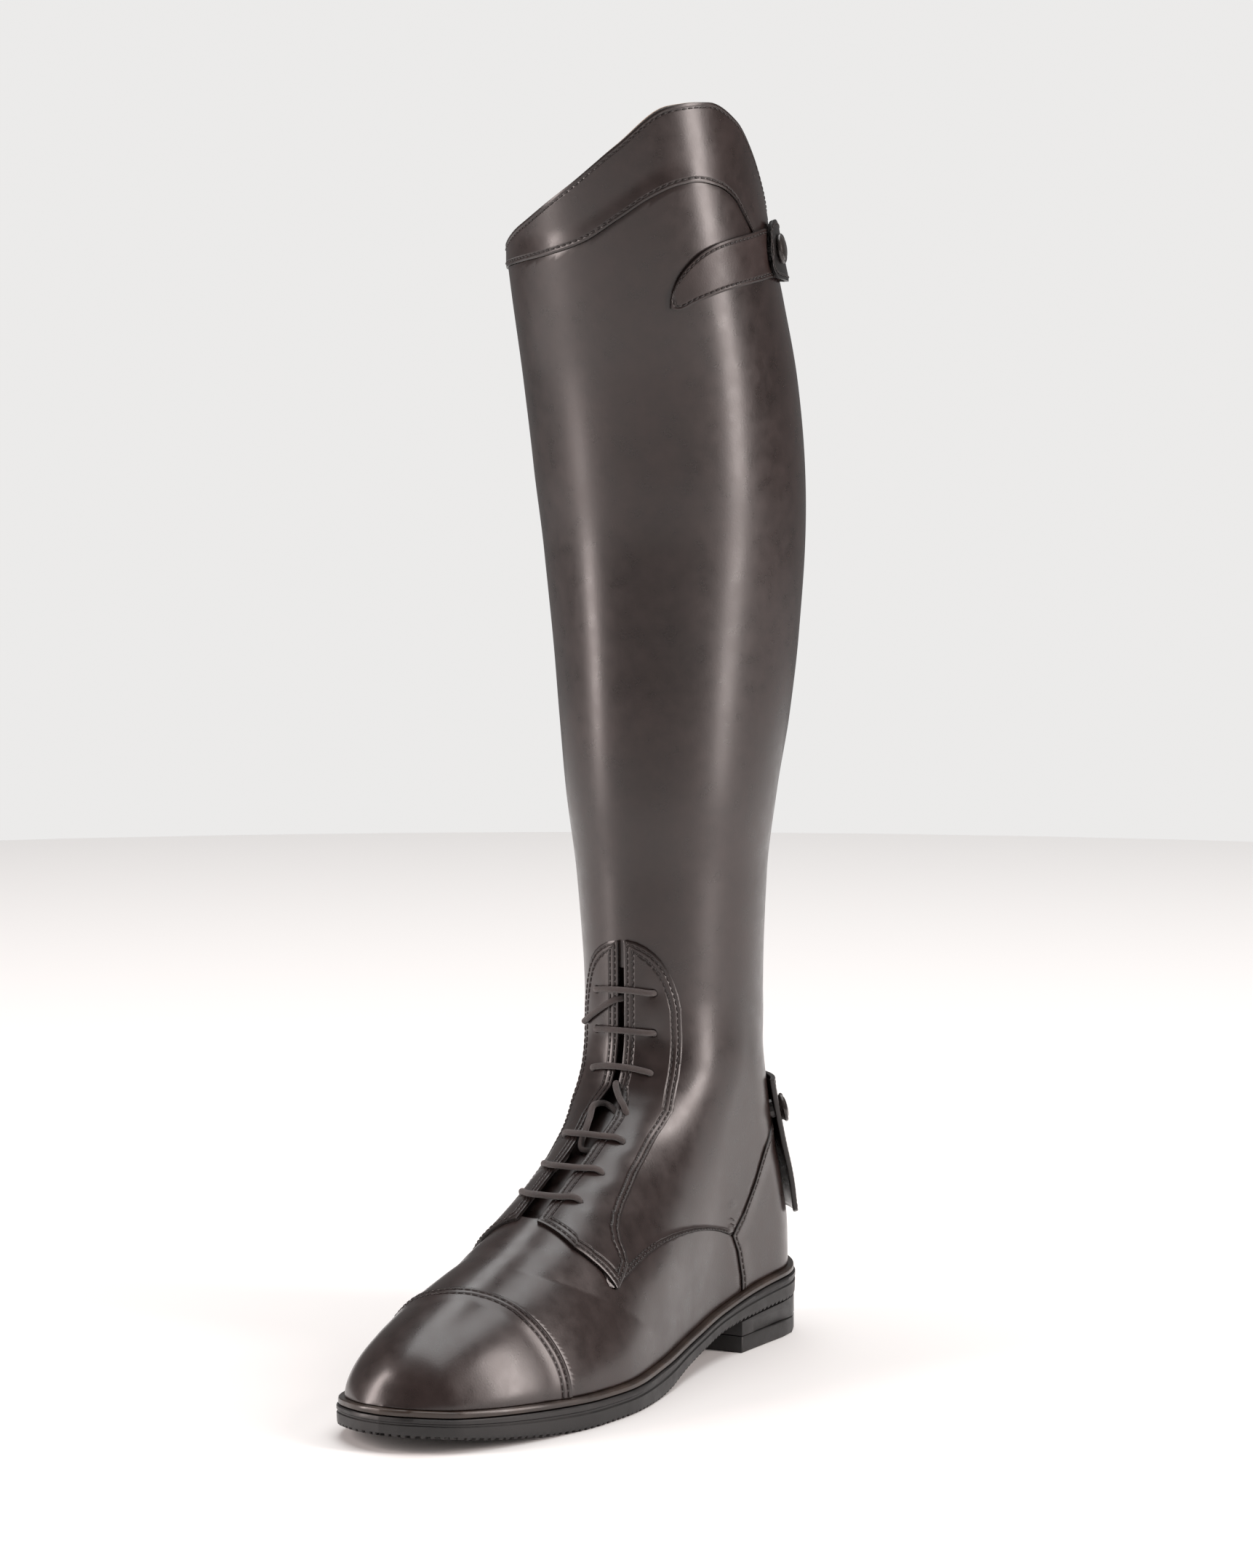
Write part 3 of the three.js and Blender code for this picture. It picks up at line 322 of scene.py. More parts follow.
def surface_normals(
    surface: Surface, u: Array, v: Array, u_range: tuple[float, float], v_range: tuple[float, float],
) -> Array:
    """Works out the direction out of a surface from the points round each place.

    Args:
        surface: Gives points for arrays of u and v; u runs to the right and v runs down.
        u: The places across.
        v: The places down.
        u_range: The least and greatest u.
        v_range: The least and greatest v.

    Returns:
        A unit vector for each place.
    """
    du, dv = (u_range[1] - u_range[0]) / 700.0, (v_range[1] - v_range[0]) / 900.0
    across = surface(np.minimum(u + du, u_range[1]), v) - surface(np.maximum(u - du, u_range[0]), v)
    up = surface(u, np.maximum(v - dv, v_range[0])) - surface(u, np.minimum(v + dv, v_range[1]))
    return unit(np.cross(across, up))


FORM = BootForm()


# ------------------------------------------------------------------ where the leather is cut
QUARTER_EDGE = ((90, 103), (44, 101), (30, 96.5), (20, 90.5), (13.6, 84), (6, 70), (-3, 58.5), (-12, 50.5))
VAMP_EDGE = (
    (-12, 50.5), (-20, 53.4), (-28, 55.6), (-37, 57.4), (-46, 58.6), (-56, 59.3), (-67, 59.5), (-77, 59),
    (-86, 57.9), (-94, 56.4), (-102, 54.3), (-112, 51.4), (-121.5, 48.5),
)
COUNTER_EDGE = ((-12, 50.5), (-7.5, 43), (-4, 31), (-2, 0))
TOE_SEAM = (
    (-120, -171), (-38, -172), (-26, -176.5), (-18, -178.4), (-11, -179), (-3, -177.5), (6, -174.8),
    (18, -170.2), (31, -166), (38, -163.5), (120, -162),
)
TOP_SEAM = SmoothCurve([
    (-180, 449), (-100, 449), (-45, 452), (-21, 454.5), (-7, 457), (6, 461), (21, 470), (33, 478),
    (44, 483), (53, 484.5), (63, 483), (72, 479), (83, 468), (98, 454), (180, 449),
])
LINING_LINE = ((FAR, 89), (46, 89), (20, 79), (-4, 60), (-60, 63), (-106, 61), (-126, 66))
SIDE, FRONT, PLAN = (1, 2), (0, 2), (0, 1)

LEG_SIDE = Outline([
    *QUARTER_EDGE, *VAMP_EDGE[1:], (-124, 49.5), (-124, 120), (-FAR, 120), (-FAR, 600), (FAR, 600),
    (FAR, 103),
], SIDE)
QUARTER_SIDE = Outline([
    *shifted(QUARTER_EDGE, 0.35, -0.35), *shifted(COUNTER_EDGE[1:], 0.35, 0), (-2, -20), (FAR, -20),
    (FAR, 102.65),
], SIDE)
VAMP_SIDE = Outline([
    *shifted(VAMP_EDGE, 0, -0.35), (-124.35, 49.5), (-124.35, 120), (-FAR, 120), (-FAR, -20),
    (-2.3, -20), *list(reversed(shifted(COUNTER_EDGE, -0.35, 0)))[:3],
], SIDE)
TOE_PLAN = Outline([*TOE_SEAM, (120, -FAR), (-120, -FAR)], PLAN)
BEHIND_TOE = Outline([*shifted(TOE_SEAM, 0, 0.35), (120, FAR), (-120, FAR)], PLAN)
LACE_OPENING = Outline([(-16, 75), (16, 75), (16, 160), (12, 166), (-12, 166), (-16, 160)], FRONT)
LINING_SIDE = Outline([*LINING_LINE, (-128, 78), (-FAR, 78), (-FAR, 700), (FAR, 700)], SIDE)
TONGUE_FRONT = Outline([(-25, 72), (25, 72), (25, 170), (20, 180), (-20, 180), (-25, 170)], FRONT)
TONGUE_SIDE = Outline([
    *shifted(LINING_LINE, 0, 0.5), (-127.5, 79), (-FAR, 79), (-FAR, 300), (FAR, 300),
], SIDE)
REAR_HALF = ((195, 8.64), (235, 15.4), (300, 26.15), (377, 39.7), (440, 44.5), (470, 49.9), (520, 58))


def beside_zip(points: Array) -> Array:
    """Returns each point's distance across from the middle of the zip, positive on the outer side."""
    return points[..., 0] - FORM.centre_x(points[..., 2])


def in_zip_opening(points: Array) -> Array:
    """Returns how far inside the zip opening each point is, negative outside it."""
    inside = np.minimum(ZIP_HALF - np.abs(beside_zip(points)), points[..., 2] - ZIP_FOOT)
    return np.where(points[..., 1] > 8.0, inside, -CLEAR)


def in_rear_panel(points: Array) -> Array:
    """Returns how far inside the elastic V each point is, negative outside it."""
    table = np.array(REAR_HALF)
    half = np.interp(points[..., 2], table[:, 0], table[:, 1])
    inside = np.minimum.reduce([
        half - np.abs(beside_zip(points)), points[..., 2] - ELASTIC_FOOT, ELASTIC_TOP - points[..., 2]])
    return np.where(points[..., 1] > -20.0, inside, -CLEAR)


def above_top_seam(points: Array) -> Array:
    """Returns each point's height over the seam below the top panel."""
    angle = np.degrees(np.arctan2(points[..., 0] - LEG_AXIS[0], LEG_AXIS[1] - points[..., 1]))
    return points[..., 2] - TOP_SEAM(angle)


def in_lace_opening(points: Array) -> Array:
    """Returns how far inside the lace opening each point is, negative outside it."""
    return np.where(points[..., 1] < -25.0, LACE_OPENING.inside(points), -CLEAR)


# ------------------------------------------------------------------ work on meshes
def deselect() -> None:
    """Leaves nothing selected."""
    for item in bpy.context.selected_objects:
        item.select_set(False)


def make_active(item: bpy.types.Object) -> None:
    """Selects one object alone and makes it the active one."""
    deselect()
    item.select_set(True)
    bpy.context.view_layer.objects.active = item


def to_part(points: Array) -> Array:
    """Returns points of the ankle's frame in the part's frame, in metres."""
    return (np.asarray(points) + ORIGIN) * MM


def grid_piece(name: str, points: Array) -> bpy.types.Object:
    """Adds a grid and moves its corners onto a surface.

    Args:
        name: The piece's name.
        points: Places for the grid, [row, column, xyz] in mm; rows run up and columns to the right.

    Returns:
        The new object, with the grid's own UV map.
    """
    rows, columns = points.shape[0] - 1, points.shape[1] - 1
    deselect()
    bpy.ops.mesh.primitive_grid_add(x_subdivisions=columns, y_subdivisions=rows, size=0.1)
    piece = bpy.context.object
    piece.name = piece.data.name = name
    piece.data.vertices.foreach_set("co", to_part(points).ravel())
    piece.data.update()
    return piece


def drop_faces(piece: bpy.types.Object, drop: Array) -> None:
    """Deletes faces of a mesh.

    Args:
        piece: The object.
        drop: For each face, whether it goes.
    """
    make_active(piece)
    bpy.context.tool_settings.mesh_select_mode = (False, False, True)
    bpy.ops.object.mode_set(mode="EDIT")
    bpy.ops.mesh.select_all(action="DESELECT")
    bpy.ops.object.mode_set(mode="OBJECT")
    piece.data.polygons.foreach_set("select", drop)
    bpy.ops.object.mode_set(mode="EDIT")
    bpy.ops.mesh.delete(type="FACE")
    bpy.ops.object.mode_set(mode="OBJECT")


def weld(piece: bpy.types.Object, distance: float = 0.02, outward: bool = False) -> None:
    """Merges corners that lie together, and may turn all faces outward.

    Args:
        piece: The object.
        distance: How near two corners are merged, mm.
        outward: Whether the normals of a closed mesh are worked out afresh.
    """
    make_active(piece)
    bpy.context.tool_settings.mesh_select_mode = (True, False, False)
    bpy.ops.object.mode_set(mode="EDIT")
    bpy.ops.mesh.select_all(action="SELECT")
    bpy.ops.mesh.remove_doubles(threshold=distance * MM)
    bpy.ops.mesh.dissolve_degenerate(threshold=distance * MM)
    if outward:
        bpy.ops.mesh.normals_make_consistent(inside=False)
    bpy.ops.object.mode_set(mode="OBJECT")


def apply_modifier(piece: bpy.types.Object, kind: str, **settings: object) -> None:
    """Adds a modifier with its settings and applies it."""
    make_active(piece)
    modifier = piece.modifiers.new(kind.title(), kind)
    for key, value in settings.items():
        setattr(modifier, key, value)
    bpy.ops.object.modifier_apply(modifier=modifier.name)


def round_edges(piece: bpy.types.Object, width: float, segments: int = 2, angle: float = 50.0) -> None:
    """Rounds a mesh's sharp edges by a width in mm."""
    apply_modifier(piece, "BEVEL", width=width * MM, segments=segments, limit_method="ANGLE",
                   angle_limit=math.radians(angle), use_clamp_overlap=True, harden_normals=False)


def smooth_shading(piece: bpy.types.Object, angle: float = 42.0) -> None:
    """Shades a mesh smooth up to an angle between faces."""
    make_active(piece)
    bpy.ops.object.shade_smooth_by_angle(angle=math.radians(angle))


def tube_points(path: Array, radius: Array | float, sides: int) -> Array:
    """Works out the rings of a round cord along a path, closed at both ends.

    Args:
        path: The middle of the cord, mm.
        radius: Its radius, the same all along or one for each point.
        sides: Corners in a ring.

    Returns:
        Points as [ring, corner, xyz], with the first and last ring drawn together.
    """
    along = unit(np.gradient(path, axis=0))
    radii = np.broadcast_to(np.asarray(radius, dtype=float), (len(path),))
    side = unit(np.cross(along[0], np.array([0.31, 0.17, 0.93])))
    rings = [np.repeat(path[:1], sides + 1, axis=0)]
    turns = np.linspace(0.0, 2 * math.pi, sides + 1)[:, None]
    for centre, direction, reach in zip(path, along, radii):
        side = unit(side - direction * float(side @ direction))
        other = np.cross(direction, side)
        rings.append(centre + reach * (np.cos(turns) * side + np.sin(turns) * other))
    rings.append(np.repeat(path[-1:], sides + 1, axis=0))
    return np.stack(rings)


def smooth_path(stops: Array, step: float) -> Array:
    """Draws a smooth line through stops and returns points a step of mm apart on it."""
    stops = np.asarray(stops, dtype=float)
    gaps = np.linalg.norm(np.diff(stops, axis=0), axis=1) ** 0.5
    knots = np.concatenate([[0.0], np.cumsum(gaps)])
    tangents = np.gradient(stops, knots, axis=0)
    dense = []
    for i, gap in enumerate(gaps):
        t = np.linspace(0, 1, 25)[:, None]
        dense.append(
            (2 * t**3 - 3 * t**2 + 1) * stops[i] + (t**3 - 2 * t**2 + t) * gap * tangents[i]
            + (3 * t**2 - 2 * t**3) * stops[i + 1] + (t**3 - t**2) * gap * tangents[i + 1]
        )
    return spaced(np.concatenate(dense), step)[0]


def spaced(path: Array, step: float, *others: Array) -> tuple[Array, ...]:
    """Returns a path, and arrays that go with it, at points about a step of mm apart."""
    lengths = np.concatenate([[0.0], np.cumsum(np.linalg.norm(np.diff(path, axis=0), axis=1))])
    count = max(1, int(round(lengths[-1] / step)))
    stations = np.linspace(0.0, lengths[-1], count + 1)
    return tuple(
        np.stack([np.interp(stations, lengths, values[:, k]) for k in range(values.shape[1])], axis=1)
        for values in (path, *others)
    )


def copies(
    name: str, template: bpy.types.Object, places: Array, along: Array, out: Array,
) -> bpy.types.Object:
    """Makes one mesh out of many copies of a small shape.

    Args:
        name: The new piece's name.
        template: A small object at the origin, in mm: X lies along and Z points out. It is removed.
        places: Where each copy stands, mm.
        along: The direction of each copy's X.
        out: The direction of each copy's Z.

    Returns:
        The new object.
    """
    corners = np.array([vertex.co[:] for vertex in template.data.vertices])
    faces = [tuple(polygon.vertices) for polygon in template.data.polygons]
    out = unit(out)
    along = unit(along - out * np.sum(along * out, axis=1, keepdims=True))
    basis = np.stack([along, np.cross(out, along), out], axis=1)
    points = places[:, None] + np.einsum("vk,nkx->nvx", corners, basis)
    shifts = np.arange(len(places)) * len(corners)
    all_faces = [tuple(i + int(shift) for i in face) for shift in shifts for face in faces]
    mesh = bpy.data.meshes.new(name)
    mesh.from_pydata(to_part(points.reshape(-1, 3)).tolist(), [], all_faces)
    piece = bpy.data.objects.new(name, mesh)
    bpy.context.scene.collection.objects.link(piece)
    bpy.data.objects.remove(template)
    smooth_shading(piece, 60.0)
    return piece


def contour(values: Array, level: float) -> list[Array]:
    """Follows the line on a grid where a value reaches a level.

    Args:
        values: The value at each [row, column].
        level: The level to follow.

    Returns:
        Lines of fractional [row, column] places.
    """
    high = values > level
    mixed = (high[:-1, :-1] != high[:-1, 1:]) | (high[:-1, :-1] != high[1:, :-1]) | (
        high[:-1, :-1] != high[1:, 1:])
    links: dict[tuple, list[tuple]] = {}
    spots: dict[tuple, tuple[float, float]] = {}
    for i, j in zip(*np.nonzero(mixed)):
        crossed = []
        for a, b in (((i, j), (i, j + 1)), ((i, j + 1), (i + 1, j + 1)),
                     ((i + 1, j), (i + 1, j + 1)), ((i, j), (i + 1, j))):
            if high[a] != high[b]:
                share = float((level - values[a]) / (values[b] - values[a]))
                spots[(a, b)] = (a[0] + (b[0] - a[0]) * share, a[1] + (b[1] - a[1]) * share)
                crossed.append((a, b))
        for first, second in zip(crossed[::2], crossed[1::2]):
            links.setdefault(first, []).append(second)
            links.setdefault(second, []).append(first)
    lines, used = [], set()
    starts = [key for key in links if len(links[key]) == 1] + list(links)
    for start in starts:
        if start in used:
            continue
        line, here = [], start
        while here is not None:
            used.add(here)
            line.append(spots[here])
            here = next((key for key in links[here] if key not in used), None)
        if len(line) > 4:
            lines.append(np.array(line))
    return lines


def sample(values: Array, places: Array) -> Array:
    """Returns a grid's values at fractional [row, column] places."""
    row = np.clip(places[:, 0], 0, values.shape[0] - 1.001)
    column = np.clip(places[:, 1], 0, values.shape[1] - 1.001)
    i, j = row.astype(int), column.astype(int)
    s, t = (row - i), (column - j)
    if values.ndim == 3:
        s, t = s[:, None], t[:, None]
    top = values[i, j] * (1 - t) + values[i, j + 1] * t
    return top * (1 - s) + (values[i + 1, j] * (1 - t) + values[i + 1, j + 1] * t) * s


# ------------------------------------------------------------------ sheets of leather and cloth
@dataclass
class Seam:
    """A cut edge that is raised over its neighbour and stitched.

    Attributes:
        inside: Signed distance from the edge, positive on the piece's side.
        rows: How far from the edge each row of stitches runs, mm.
        raised: How much the edge stands over its neighbour, mm.
        reach: How far in from the edge it is raised, mm.
    """

    inside: Field
    rows: tuple[float, ...] = ()
    raised: float = 0.0
    reach: float = 9.0


@dataclass
class Sheet:
    """A sheet that follows a surface, cut to a region, with thickness and stitched edges.

    Attributes:
        name: The piece's name.
        surface: Gives points for a place across and a place down, mm.
        across: Places across.
        down: Places down, from top to bottom.
        thickness: Of the sheet, mm.
        outer: How far its outer face stands out of the surface, mm.
        region: Signed distance inside the sheet's own outline, or None for all of it.
        seams: Its raised and stitched edges.
        normal: Direction out of the surface, where it has its own.
        edge: Radius of its cut edges, mm.
        swell: A further height over the surface, mm, for each place.
        thread: What its stitches are named after, or nothing for the CAD node's name.
        stitches: The lines to be sewn, found when it is built.
    """

    name: str
    surface: Surface
    across: Array
    down: Array
    thickness: float = LEATHER
    outer: float = 0.0
    region: Field | None = None
    seams: tuple[Seam, ...] = ()
    normal: Surface | None = None
    edge: float = 0.35
    swell: Field | None = None
    thread: str = ""
    stitches: list[tuple[Array, Array]] = field(default_factory=list)

    def normals_at(self, u: Array, v: Array) -> Array:
        """Returns the direction out of the surface at each place."""
        if self.normal is not None:
            return self.normal(u, v)
        return surface_normals(self.surface, u, v, (self.across.min(), self.across.max()),
                               (self.down.min(), self.down.max()))

    def distance(self, inside: Field, u: Array, v: Array) -> tuple[Array, Array, Array]:
        """Measures a signed distance along the surface.

        Args:
            inside: A signed value that is zero on a line.
            u: Places across.
            v: Places down.

        Returns:
            The distance in mm, and the step in u and in v that leads to the line.
        """
        du = (self.across.max() - self.across.min()) / 900.0
        dv = (self.down.max() - self.down.min()) / 900.0
        back_u = np.where(u + du > self.across.max(), -1.0, 1.0)
        back_v = np.where(v + dv > self.down.max(), -1.0, 1.0)
        here = self.surface(u, v)
        right, below = self.surface(u + du * back_u, v), self.surface(u, v + dv * back_v)
        wide = np.maximum(np.linalg.norm(right - here, axis=-1), 1e-4)
        tall = np.maximum(np.linalg.norm(below - here, axis=-1), 1e-4)
        value = inside(u, v, here)
        slope_u = (inside(u + du * back_u, v, right) - value) / wide
        slope_v = (inside(u, v + dv * back_v, below) - value) / tall
        slope = np.clip(np.hypot(slope_u, slope_v), 0.15, 4.0)
        travel = -value / slope
        step_u = travel * slope_u / slope / wide * du * back_u
        step_v = travel * slope_v / slope / tall * dv * back_v
        return -travel, step_u, step_v

    def cut(self, u: Array, v: Array) -> Array:
        """Moves the grid's corners beside the outline onto it.

        Args:
            u: Places across, changed in place.
            v: Places down, changed in place.

        Returns:
            For each face, whether it lies outside the outline.
        """
        value = self.region(u, v, self.surface(u, v))
        middle = (value[:-1, :-1] + value[1:, :-1] + value[:-1, 1:] + value[1:, 1:]) / 4
        kept = middle > 0.0
        beside_kept, beside_lost = np.zeros(u.shape, dtype=bool), np.zeros(u.shape, dtype=bool)
        for rows in (slice(0, -1), slice(1, None)):
            for columns in (slice(0, -1), slice(1, None)):
                beside_kept[rows, columns] |= kept
                beside_lost[rows, columns] |= ~kept
        border = beside_kept & beside_lost
        limit_u, limit_v = np.ptp(self.across) / 60, np.ptp(self.down) / 60
        # Each pass brings a corner nearer to the line, which bends between corners
        for _ in range(4):
            _, step_u, step_v = self.distance(self.region, u[border], v[border])
            u[border] = np.clip(u[border] + np.clip(step_u, -limit_u, limit_u),
                                self.across.min(), self.across.max())
            v[border] = np.clip(v[border] + np.clip(step_v, -limit_v, limit_v),
                                self.down.min(), self.down.max())
        return ~kept.ravel()

    def build(self) -> bpy.types.Object:
        """Cuts the sheet, lays it on the surface and gives it its thickness.

        Returns:
            The finished object, with each place's distance from its stitched edge as "seam".
        """
        v, u = np.meshgrid(self.down[::-1], self.across, indexing="ij")
        u, v = u.astype(float), v.astype(float)
        drop = self.cut(u, v) if self.region is not None else None
        base = self.surface(u, v)
        normals = self.normals_at(u, v)
        height = np.full(u.shape, self.outer)
        if self.swell is not None:
            height = height + self.swell(u, v, base)
        nearest = np.full(u.shape, CLEAR)
        distances = []
        for seam in self.seams:
            away = self.distance(seam.inside, u, v)[0]
            distances.append(away)
            height = height + seam.raised * (1.0 - ease(np.maximum(away, 0.0) / seam.reach))
            if seam.rows:
                nearest = np.minimum(nearest, np.where(away > -1.0, away, CLEAR))
        points = base + normals * height[..., None]
        whole = self.region(u, v, base) if self.region is not None else np.full(u.shape, CLEAR)
        for seam, away in zip(self.seams, distances):
            self.stitches += self.rows_of(seam, away, whole, points, normals)
        piece = grid_piece(self.name, points)
        tag = piece.data.attributes.new("seam", "FLOAT", "POINT")
        tag.data.foreach_set("value", np.clip(nearest, -5.0, 20.0).ravel())
        if drop is not None:
            drop_faces(piece, drop)
        weld(piece, 0.03)
        apply_modifier(piece, "SOLIDIFY", thickness=self.thickness * MM, offset=-1.0)
        if self.edge:
            round_edges(piece, self.edge)
        smooth_shading(piece)
        return piece

    def rows_of(self, seam: Seam, away: Array, whole: Array, points: Array, normals: Array) -> list:
        """Finds the lines along which a seam's stitches run.

        Args:
            seam: The seam.
            away: Distance from its edge over the grid.
            whole: Signed value inside the sheet's outline over the grid.
            points: The grid's points.
            normals: The directions out of it.

        Returns:
            Pairs of points and directions out of the leather along each line.
        """
        lines = []
        for row in seam.rows:
            for line in contour(away, row):
                good = sample(whole, line) > 0.6 * row - 0.6
                cuts = np.nonzero(np.diff(good.astype(int)))[0] + 1
                for part in np.split(np.arange(len(line)), cuts):
                    if len(part) > 4 and good[part[0]]:
                        lines.append((sample(points, line[part]), sample(normals, line[part])))
        return lines


# ------------------------------------------------------------------ finishes
def srgb(code: str, alpha: float = 1.0) -> tuple[float, float, float, float]:
    """Turns an sRGB hex colour such as "4b3e3c" to linear red, green, blue and alpha."""
    parts = [int(code[i:i + 2], 16) / 255 for i in (0, 2, 4)]
    linear = [part / 12.92 if part <= 0.04045 else ((part + 0.055) / 1.055) ** 2.4 for part in parts]
    return linear[0], linear[1], linear[2], alpha


def add_node(
    tree: bpy.types.NodeTree, kind: str, inputs: dict | None = None, **settings: object,
) -> bpy.types.Node:
    """Adds a node with its settings; each input is a value or another node's output."""
    node = tree.nodes.new(kind)
    for key, value in settings.items():
        setattr(node, key, value)
    for key, value in (inputs or {}).items():
        if isinstance(value, bpy.types.NodeSocket):
            tree.links.new(value, node.inputs[key])
        else:
            node.inputs[key].default_value = value
    return node


# A wave texture turns 20 radians in one unit, so this over a pitch in mm is its scale
WAVES = 2 * math.pi / (20 * MM)


class Pattern(Enum):
    """What a finish's surface is made of, up close."""

    GRAIN = "grain"
    NAP = "nap"
    RIBS = "ribs"
    WEAVE = "weave"
    BRAID = "braid"
    MOULDED = "moulded"
    CAST = "cast"
    CORK = "cork"


@dataclass(frozen=True)
class Finish:
    """A finish: a real material and how its surface was made.

    Attributes:
        name: The material and its making, in a maker's words.
        dark: The darker colour of its variation, sRGB hex.
        light: The lighter colour of its variation, sRGB hex.
        rough: Roughness at the smoothest and at the roughest.
        pattern: Its make-up.
        size: The pattern's size, mm; for a weave or braid, its scale on the piece's own map.
        relief: Depth of the pattern, mm.
        metallic: 1 for a bare metal.
        ior: Index of refraction; a metal keeps the default.
        sheen: How much loose fibre catches the light at grazing angles.
        coat: Strength of a clear finish over it.
        rows: Distances of stitch grooves from the edge, mm.
        edge: Colour of a cut and dyed edge, sRGB hex; the stitch grooves are also painted toward it as shade.
    """

    name: str
    dark: str
    light: str
    rough: tuple[float, float]
    pattern: Pattern
    size: float
    relief: float
    metallic: float = 0.0
    ior: float = 1.5
    sheen: float = 0.0
    coat: float = 0.0
    rows: tuple[float, ...] = ()
    edge: str = ""

    def material(self) -> bpy.types.Material:
        """Returns the finish's material, made once."""
        known = bpy.data.materials.get(self.name)
        if known:
            return known
        made = bpy.data.materials.new(self.name)
        made.use_nodes = True
        tree = made.node_tree
        tree.nodes.clear()
        place = add_node(tree, "ShaderNodeTexCoord").outputs["Object"]
        # Broad shading of the hide or moulding, 45 mm across, and clouding of 7 mm
        broad = add_node(tree, "ShaderNodeTexNoise", {"Vector": place, "Scale": 22.0, "Detail": 3.0})
        cloud = add_node(tree, "ShaderNodeTexNoise", {"Vector": place, "Scale": 140.0, "Detail": 5.0})
        tone = add_node(tree, "ShaderNodeMath", {0: broad.outputs[0], 1: cloud.outputs[0]},
                        operation="ADD")
        share = add_node(tree, "ShaderNodeMapRange", {
            "Value": tone.outputs[0], "From Min": 0.7, "From Max": 1.3}, clamp=True)
        colour = add_node(tree, "ShaderNodeMix", {
            0: share.outputs[0], 6: srgb(self.dark), 7: srgb(self.light)}, data_type="RGBA").outputs[2]
        height, tint = self.relief_of(tree, place)
        # Where the share is low the colour goes to the dark one: painted shade in the hollows of ribs, weaves
        # and braids, random tone in cork
        if tint is not None:
            colour = add_node(tree, "ShaderNodeMix", {
                0: tint, 6: srgb(self.dark), 7: colour}, data_type="RGBA").outputs[2]
        rough = add_node(tree, "ShaderNodeMapRange", {
            "Value": cloud.outputs[0], "From Min": 0.35, "From Max": 0.65,
            "To Min": self.rough[0], "To Max": self.rough[1]}, clamp=True)
        bump = add_node(tree, "ShaderNodeBump", {
            "Height": height, "Strength": 1.0, "Distance": self.relief * MM})
        normal = bump.outputs[0]
        if self.rows:
            colour, normal = self.groove(tree, colour, normal)
        shader = add_node(tree, "ShaderNodeBsdfPrincipled", {
            "Base Color": colour, "Roughness": rough.outputs[0], "Metallic": self.metallic,
            "IOR": self.ior, "Sheen Weight": self.sheen, "Sheen Roughness": 0.5,
            "Coat Weight": self.coat, "Coat Roughness": 0.22, "Normal": normal})
        add_node(tree, "ShaderNodeOutputMaterial", {"Surface": shader.outputs[0]})
        return made

    def relief_of(self, tree: bpy.types.NodeTree, place: bpy.types.NodeSocket) -> tuple:
        """Draws the finish's own pattern.

        Args:
            tree: The material's nodes.
            place: Where on the piece, in metres.

        Returns:
            A height from 0 to 1, and a share of the light colour or None. For ribs, weaves and braids the
            share is the height itself, so their low places take painted shade; for cork it is a random tone.
        """
        scale = 1000.0 / self.size
        if self.pattern in (Pattern.RIBS, Pattern.WEAVE, Pattern.BRAID):
            mapped = add_node(tree, "ShaderNodeUVMap").outputs[0]
            if self.pattern is Pattern.RIBS:
                # Cords of rubber under a knitted face run up the panel; the valleys between the ribs are
                # painted darker as shade
                wave = add_node(tree, "ShaderNodeTexWave", {
                    "Vector": place, "Scale": WAVES / self.size, "Distortion": 0.4},
                    wave_type="BANDS", bands_direction="X")
                return wave.outputs["Fac"], wave.outputs["Fac"]
            # Two sets of threads that pass over each other, laid along the piece's own map; the gaps between
            # the threads are painted darker as shade
            turn = math.radians(45.0 if self.pattern is Pattern.BRAID else 0.0)
            laid = add_node(tree, "ShaderNodeMapping", {"Vector": mapped, "Rotation": (0.0, 0.0, turn)})
            first = add_node(tree, "ShaderNodeTexWave", {"Vector": laid.outputs[0], "Scale": self.size},
                             wave_type="BANDS", bands_direction="X")
            second = add_node(tree, "ShaderNodeTexWave", {"Vector": laid.outputs[0], "Scale": self.size},
                              wave_type="BANDS", bands_direction="Y")
            both = add_node(tree, "ShaderNodeMath", {0: first.outputs["Fac"], 1: second.outputs["Fac"]},
                            operation="MAXIMUM")
            return both.outputs[0], both.outputs[0]
        fine = add_node(tree, "ShaderNodeTexNoise", {"Vector": place, "Scale": scale, "Detail": 4.0})
        if self.pattern in (Pattern.NAP, Pattern.MOULDED, Pattern.CAST):
            return fine.outputs[0], None
        cells = add_node(tree, "ShaderNodeTexVoronoi", {"Vector": place, "Scale": scale},
                         feature="SMOOTH_F1")
        if self.pattern is Pattern.CORK:
            return cells.outputs["Distance"], fine.outputs[0]
        # Grain: rounded pebbles with pores and hairline creases between them
        both = add_node(tree, "ShaderNodeMath", {
            0: cells.outputs["Distance"], 1: 0.6, 2: fine.outputs[0]}, operation="MULTIPLY_ADD")
        return both.outputs[0], None

